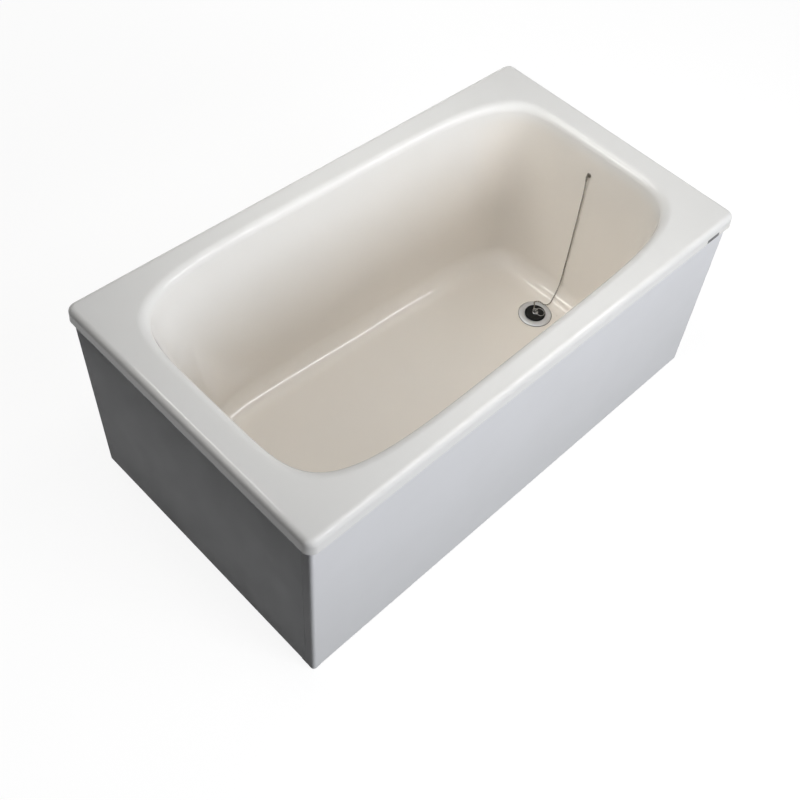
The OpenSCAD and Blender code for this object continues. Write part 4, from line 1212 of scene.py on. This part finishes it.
def make_plug():
    """A hollow cone, open below, with a shallow dish in its top."""
    top_r = PLUG_LOW_R + PLUG_CONE * PLUG_H
    hollow, inner, dish = PLUG_H - PLUG_ROOF, PLUG_LOW_R - PLUG_WALL, PLUG_H - 0.5
    profile = [(STUD_HOLE_R, hollow), (inner, hollow), (inner, 0), (PLUG_LOW_R, 0),
               (top_r - 0.2, PLUG_H - 1.5), (top_r - 1.5, PLUG_H), (top_r - 5, PLUG_H),
               (top_r - 5.6, dish), (DISH_R + 0.6, dish), (DISH_R, PLUG_H),
               (STUD_HOLE_R, PLUG_H)]
    radii = [0, 2, 1, 0.8, 0.9, 0.8, 0.3, 0.3, 0.3, 0.3, 0.2]
    bm = bmesh.new()
    turned(bm, rounded(profile, radii), (DRAIN.x, DRAIN.y, PLUG_Z))
    settle(bm)
    return make_piece("plug_body", bm, [plug_black], "plug_black", "plug", "plug_rubber")


make_plug()

# %% Stud with its eye, and the nut under it
STUD_R, STUD_LEN, DISC_R, AXIS_R = 2.5, 14, 8, 0.02
PLUG_NUT_R, PLUG_NUT_H, PLUG_WASHER_R, PLUG_WASHER_T = 5.5, 3, 9, 1


def make_stud():
    """The stud, its disc on the rubber and the upright eye."""
    bm = bmesh.new()
    low, top = PLUG_TOP - STUD_LEN, PLUG_TOP
    stud = rounded([(AXIS_R, low), (STUD_R, low), (STUD_R, top), (DISC_R, top),
                    (DISC_R, top + 0.7), (6.4, top + 1.5), (2.2, top + 1.5), (1.5, top + 4.2),
                    (AXIS_R, top + 4.6)], [0, 0.5, 0, 0.2, 0.4, 0.5, 0.8, 0.5, 0])
    turned(bm, stud, (DRAIN.x, DRAIN.y, 0), 64)
    place = (over_drain(EYE_Z) @ Matrix.Rotation(math.radians(EYE_TURN), 4, "Z")
             @ Matrix.Rotation(QUARTER, 4, "Y"))
    spun_ring(bm, EYE_R, EYE_WIRE, place, 56, 18)
    settle(bm)
    return make_piece("stud_with_eye", bm, [bright_metal], "bright_metal", "plug", "plug_eye")


def make_plug_nut():
    """A round washer with a six-sided nut under it."""
    bm = bmesh.new()
    under = PLUG_TOP - PLUG_ROOF
    plate = washer(PLUG_WASHER_R, STUD_HOLE_R, under - PLUG_WASHER_T, under)
    turned(bm, rounded(plate, [0.1, 0.3, 0.1, 0.1]), (DRAIN.x, DRAIN.y, 0), 64)
    low = under - PLUG_WASHER_T - PLUG_NUT_H
    place = over_drain(low)
    outer, bore = (bmesh.ops.create_circle(bm, segments=sides, radius=radius * MM,
                                           matrix=place)["verts"]
                   for sides, radius in ((6, PLUG_NUT_R), (24, STUD_HOLE_R)))
    loops = [e for v in outer + bore for e in v.link_edges]
    base = bmesh.ops.bridge_loops(bm, edges=list(set(loops)))["faces"]
    up = bmesh.ops.extrude_face_region(bm, geom=base)["geom"]
    bmesh.ops.translate(bm, vec=(0, 0, PLUG_NUT_H * MM),
                        verts=[g for g in up if isinstance(g, bmesh.types.BMVert)])
    settle(bm)
    return make_piece("nut_of_plug", bm, [bright_metal], "bright_metal", "plug", "plug_nut")


make_stud()
make_plug_nut()

# %% [markdown]
# ## The pull ring
# The ring is a piece of its own, because it swings in the eye. It hangs through the eye and leans
# on the rubber, a little off level.

# %% Pull ring
def make_pull_ring():
    """The ring as it lies at rest."""
    bm = bmesh.new()
    place = (over_drain(PULL_Z) @ Matrix.Rotation(math.radians(EYE_TURN), 4, "Z")
             @ Matrix.Rotation(math.radians(PULL_DROP), 4, "X")
             @ Matrix.Translation((0, -PULL_R * MM, 0)))
    spun_ring(bm, PULL_R, PULL_WIRE, place, 84, 16)
    settle(bm)
    return make_piece("finger_ring", bm, [bright_metal], "bright_metal", "pull_ring",
                      "pull_ring")


make_pull_ring()

# %% [markdown]
# ## The wall anchor
# A small rosette sits on the drain end's wall. Its stem goes through the wall to a nut, and its
# eye holds the chain's upper link. It is turned and then set square to the sloping wall.

# %% Anchor
ANCHOR, WALL_TILT = (564.689, -3.0, 464.0), math.radians(4.918)
ROSETTE_R, ROSETTE_T, ANCHOR_EYE_R, ANCHOR_WIRE, NECK = 6.5, 2.5, 3.6, 1.1, 1.6
STEM_R, STEM_PAST_WALL = 2.5, 9


def make_anchor():
    """Stem, rosette and eye, turned upright and then set square to the wall."""
    bm = bmesh.new()
    out_of_wall = (Matrix.Translation(Vector(ANCHOR) * MM)
                   @ Matrix.Rotation(WALL_TILT - QUARTER, 4, "Y"))
    stem, tip = SHELL_T + STEM_PAST_WALL, ROSETTE_T + NECK
    body = rounded([(AXIS_R, -stem), (STEM_R, -stem), (STEM_R, 0.02), (ROSETTE_R, 0.02),
                    (ROSETTE_R, 0.7), (ROSETTE_R - 1.5, ROSETTE_T), (1.7, ROSETTE_T),
                    (1.1, tip), (AXIS_R, tip)], [0, 0.5, 0, 0.2, 0.6, 0.8, 0.4, 0.2, 0])
    turned(bm, body, (0, 0, 0), 48, out_of_wall)
    eye = out_of_wall @ Matrix.Translation((0, 0, (tip + ANCHOR_EYE_R) * MM))
    spun_ring(bm, ANCHOR_EYE_R, ANCHOR_WIRE, eye @ Matrix.Rotation(QUARTER, 4, "X"), 44, 14)
    settle(bm)
    return make_piece("anchor_on_wall", bm, [anchor_metal], "anchor_metal", "root", "wall_anchor")


make_anchor()

# %% [markdown]
# ## The feet
# Each foot is a moulded cup with a flat skirt and shallow recesses between its ribs, set over a
# rubber pad. A cone is built up in bands, and of every four faces round its middle band three are
# pushed inwards, so that the fourth is left as a rib. Its top follows the slightly sloping board
# that it carries.

# %% Feet and pads
FOOT_XS, FOOT_Y, FOOT_R, PAD_R, PAD_T = (-328.0, 297.0), 150.0, 32.0, 28.0, 6.0
BOARD_T, TILT = 9.0, math.atan(FLOOR_FALL)
FOOT_SIDES, PAD_GAP, RECESS, GROOVE = 48, 0.4, 1.6, 1.1


def board_under(x):
    """Height of the base board's underside."""
    return floor_at(x) - (SHELL_T + BOARD_T) / math.cos(TILT)


def foot_at(index):
    """Where foot 0 to 3 stands: head and drain end in turn, first in front and then behind."""
    return FOOT_XS[index % 2], (-FOOT_Y if index < 2 else FOOT_Y)


def make_foot(index):
    """A ribbed cup over its pad, whose top follows the board's slope."""
    x, y = foot_at(index)
    bm = bmesh.new()
    top = board_under(x) - 0.3
    ring = bmesh.ops.create_circle(bm, segments=FOOT_SIDES, radius=FOOT_R * MM)["verts"]
    heights = [(3.0, FOOT_R), (6.5, FOOT_R - 0.2), (8.0, FOOT_R - 1.6), (top - 4, FOOT_R - 2.2),
               (top - 2.6, FOOT_R - 1.9), (top, FOOT_R - 1.9)]
    edges = bm.edges[:]
    for v in ring:
        v.co.z = heights[0][0] * MM
    bands = []
    for (_, before), (z, radius) in zip(heights, heights[1:]):
        known = set(bm.faces)
        edges = extrude_to(bm, edges, lambda p: Vector((p.x * radius / before,
                                                        p.y * radius / before, z)))
        bands.append([f for f in bm.faces if f not in known])
    between_ribs = [f for f in bands[2] if int((math.atan2(*f.calc_center_median().yx)
                                                % math.tau) / math.tau * FOOT_SIDES) % 4]
    bmesh.ops.contextual_create(bm, geom=edges)
    bmesh.ops.recalc_face_normals(bm, faces=bm.faces[:])
    bmesh.ops.inset_region(bm, faces=between_ribs, thickness=0.6 * MM, depth=-RECESS * MM,
                           use_even_offset=True)
    low = [e for e in bm.edges if e.is_boundary]
    inner = extrude_to(bm, low, lambda p: Vector((p.x * (PAD_R + PAD_GAP) / FOOT_R,
                                                  p.y * (PAD_R + PAD_GAP) / FOOT_R, p.z)))
    inner = extrude_to(bm, inner, lambda p: Vector((p.x, p.y, PAD_T + 0.2)))
    bmesh.ops.contextual_create(bm, geom=inner)
    bmesh.ops.recalc_face_normals(bm, faces=bm.faces[:])
    for v in bm.verts:
        if v.co.z > (top - 0.5) * MM:
            v.co.z -= FLOOR_FALL * v.co.x
    bmesh.ops.translate(bm, vec=(x * MM, y * MM, 0), verts=bm.verts[:])
    foot = make_piece(f"moulded_foot_{index + 1}", bm, [foot_plastic], "foot_plastic", "root",
                      f"foot_{index + 1}")
    soften(foot, "edges", 0.4, 40)


def make_pad(index):
    """A round pad with two ring grooves in its underside."""
    bm = bmesh.new()
    grooves = []
    for middle in (PAD_R * 2 / 3, PAD_R / 3):
        grooves += [(middle + 1.2, 0), (middle + 0.8, GROOVE), (middle - 0.8, GROOVE),
                    (middle - 1.2, 0)]
    profile = [(AXIS_R, PAD_T), (PAD_R, PAD_T), (PAD_R, 0)] + grooves + [(AXIS_R, 0)]
    radii = [0, 0.6, 0.8] + [0.2] * len(grooves) + [0]
    turned(bm, rounded(profile, radii), (*foot_at(index), 0), 64)
    settle(bm)
    return make_piece(f"rubber_pad_{index + 1}", bm, [pad_rubber], "pad_rubber", "root",
                      f"foot_pad_{index + 1}")


for index in range(4):
    make_foot(index)
    make_pad(index)

# %% [markdown]
# ## Pieces that keep their construction mesh
# Boards, rails, straps and screws have the right shape already. They only get their finish and a
# fine bevel along their edges. The meshes are loose triangles, so a weld joins them first.

# %% Finishes and bevels for the carried-over pieces
def dress(finish, width, *nodes):
    """Gives construction nodes a finish and a fine bevel, width in mm."""
    for node in nodes:
        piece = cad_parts[node]
        piece.data.materials.clear()
        piece.data.materials.append(finish)
        weld = piece.modifiers.new("weld", "WELD")
        weld.merge_threshold = 0.002 * MM
        soften(piece, "edges", width, 35)
    print(len(nodes), "nodes in", finish.name)


dress(plywood, 0.8, "rim_board_front", "rim_board_back", "base_board")
dress(plywood_cross, 0.8, "rim_board_head", "rim_board_foot")
dress(zinc, 0.35, "front_rail", "end_rail", "corner_plate", "front_strap_1", "front_strap_2",
      "front_strap_3", "end_strap_1", "end_strap_2")
dress(screw_steel, 0.2, "rail_screws", "strap_screws", "panel_screws", "anchor_nut")
dress(drain_steel, 0.2, "strainer")
dress(seal_rubber, 0.1, "anchor_seal")

# %% [markdown]
# ## Floor and light
# The tub stands on a plain pale floor. A large soft panel in front, at a low height, lights the
# long side, and the head end's panel lies in shade. Smaller bright panels, one high in front and
# two at the back, draw the thin lines along the coves and the rolled edges. The larger panels
# only fill in, so they are hidden from mirror-like reflection and leave no patch on the flat rim.
# Two low ones reach the back and the head end from below the rim's height. The floor looks white
# to the camera, keeps the tub's soft shadow, and gives little light back to the tub.

# %% Floor
FLOOR_REACH, FLOOR_DROP = 14, 0.3 * MM
# The floor as the tub's light meets it, then as it is seen, with a glow of its own
FLOOR_DIM, FLOOR_PALE, FLOOR_GLOW = (0.06, 0.06, 0.06, 1), (0.20, 0.20, 0.20, 1), 0.90


def seen_directly(tree):
    """1 for camera, mirror and glass rays, 0 for the soft light between surfaces."""
    path = tree.nodes.new("ShaderNodeLightPath")
    both = math_of(tree, "MAXIMUM", path.outputs["Is Camera Ray"], path.outputs["Is Glossy Ray"])
    return math_of(tree, "MAXIMUM", both, path.outputs["Is Transmission Ray"])


def make_floor():
    """A floor a hair below the pads, so that their undersides never share its plane."""
    bm = bmesh.new()
    bmesh.ops.create_grid(bm, x_segments=8, y_segments=8, size=FLOOR_REACH,
                          matrix=Matrix.Translation((0, 0, -FLOOR_DROP)))
    mesh = bpy.data.meshes.new("studio_floor")
    bm.to_mesh(mesh)
    bm.free()
    floor = bpy.data.objects.new("studio_floor", mesh)
    bpy.context.scene.collection.objects.link(floor)
    material = bpy.data.materials.new("floor_white")
    material.use_nodes = True
    tree = material.node_tree
    tree.nodes.remove(tree.nodes["Principled BSDF"])
    dim = add(tree, "ShaderNodeBsdfDiffuse", Color=FLOOR_DIM)
    pale = add(tree, "ShaderNodeBsdfDiffuse", Color=FLOOR_PALE)
    glow = add(tree, "ShaderNodeEmission", Color=(1, 1, 1, 1), Strength=FLOOR_GLOW)
    bright = tree.nodes.new("ShaderNodeAddShader")
    tree.links.new(pale.outputs[0], bright.inputs[0])
    tree.links.new(glow.outputs[0], bright.inputs[1])
    seen = seen_directly(tree)
    pick = tree.nodes.new("ShaderNodeMixShader")
    tree.links.new(seen, pick.inputs[0])
    tree.links.new(dim.outputs[0], pick.inputs[1])
    tree.links.new(bright.outputs[0], pick.inputs[2])
    tree.links.new(pick.outputs[0], tree.nodes["Material Output"].inputs["Surface"])
    mesh.materials.append(material)


make_floor()

# %% [markdown]
# ## World and lamps
# The world is white where the camera or a mirror-like surface sees it, and nearly dark as a light,
# so the lamps alone shape the tub. A lamp's energy is worked out from a plain level and its
# distance, which lets lamps be moved without changing how bright they make a surface.

# %% World
AMBIENT = 0.02


def make_world(ambient):
    """White where it is seen or mirrored, and nearly dark as a source of light."""
    world = bpy.data.worlds.new("studio")
    bpy.context.scene.world = world
    world.use_nodes = True
    tree = world.node_tree
    back = tree.nodes["Background"]
    tint = blend_colours(tree, seen_directly(tree), (ambient, ambient, ambient * 1.02), (1, 1, 1))
    tree.links.new(tint, back.inputs["Color"])
    back.inputs["Strength"].default_value = 1.0


make_world(AMBIENT)

# %% Lamps
FULL_LIGHT = math.pi ** 2
PLAIN, WARM, COOL = (1, 1, 1), (1.0, 0.985, 0.95), (0.97, 0.98, 1.0)


def make_lamp(name, towards, target, distance, size, level, colour, mirrored, beam=None):
    """A soft panel in a direction from its target; level 1 lights a facing surface fully.

    Where mirrored is false, gloss doesn't show the panel. A beam in degrees narrows its light,
    which makes it stronger, so a narrow lamp has a very low level.
    """
    data = bpy.data.lights.new(name, "AREA")
    data.shape = "RECTANGLE"
    data.size, data.size_y = size
    data.energy = level * FULL_LIGHT * distance ** 2
    data.color = colour
    if beam:
        data.spread = math.radians(beam)
    lamp = bpy.data.objects.new(name, data)
    bpy.context.scene.collection.objects.link(lamp)
    way = Vector(towards).normalized()
    aim = (-way).to_track_quat("-Z", "Y")
    lamp.matrix_world = (Matrix.Translation(Vector(target) + way * distance)
                         @ aim.to_matrix().to_4x4())
    lamp.visible_camera = False
    lamp.visible_glossy = mirrored
    print("lamp", name, "level", level)


make_lamp("front", (0.10, -0.93, 0.35), (-0.1, 0, 0.35), 4.0, (2.2, 1.7), 0.61, COOL, False)
make_lamp("high_front", (0.38, -0.63, 0.68), (-0.1, 0.2, 0.3), 5.0, (3.1, 0.36), 0.165, COOL,
          True)
make_lamp("high_back", (-0.10, 0.46, 0.88), (0, 0, 0.35), 4.0, (0.7, 1.1), 0.09, WARM, True)
make_lamp("overhead", (0, 0, 1), (0, 0, 0.35), 1.7, (0.9, 0.45), 0.185, WARM, False)
make_lamp("drain_end", (-0.95, 0.05, 1.95), (0.45, 0, 0.3), 2.17, (0.6, 0.5), 0.044, WARM,
          False, beam=80)
make_lamp("drain_end_line", (-0.70, 0.40, 0.58), (0.59, 0, 0.5), 3.6, (1.4, 0.5), 0.005, WARM,
          True, beam=30)
make_lamp("low_back", (0.60, 0.80, -0.02), (0, 0, 0.35), 4.0, (2.4, 0.44), 0.42, PLAIN, False)
make_lamp("low_head_end", (-1.0, 0.12, 0), (-0.64, 0, 0.24), 3.0, (0.9, 0.40), 0.0005, PLAIN,
          True, beam=9)

bpy.context.scene.view_settings.view_transform = "Standard"
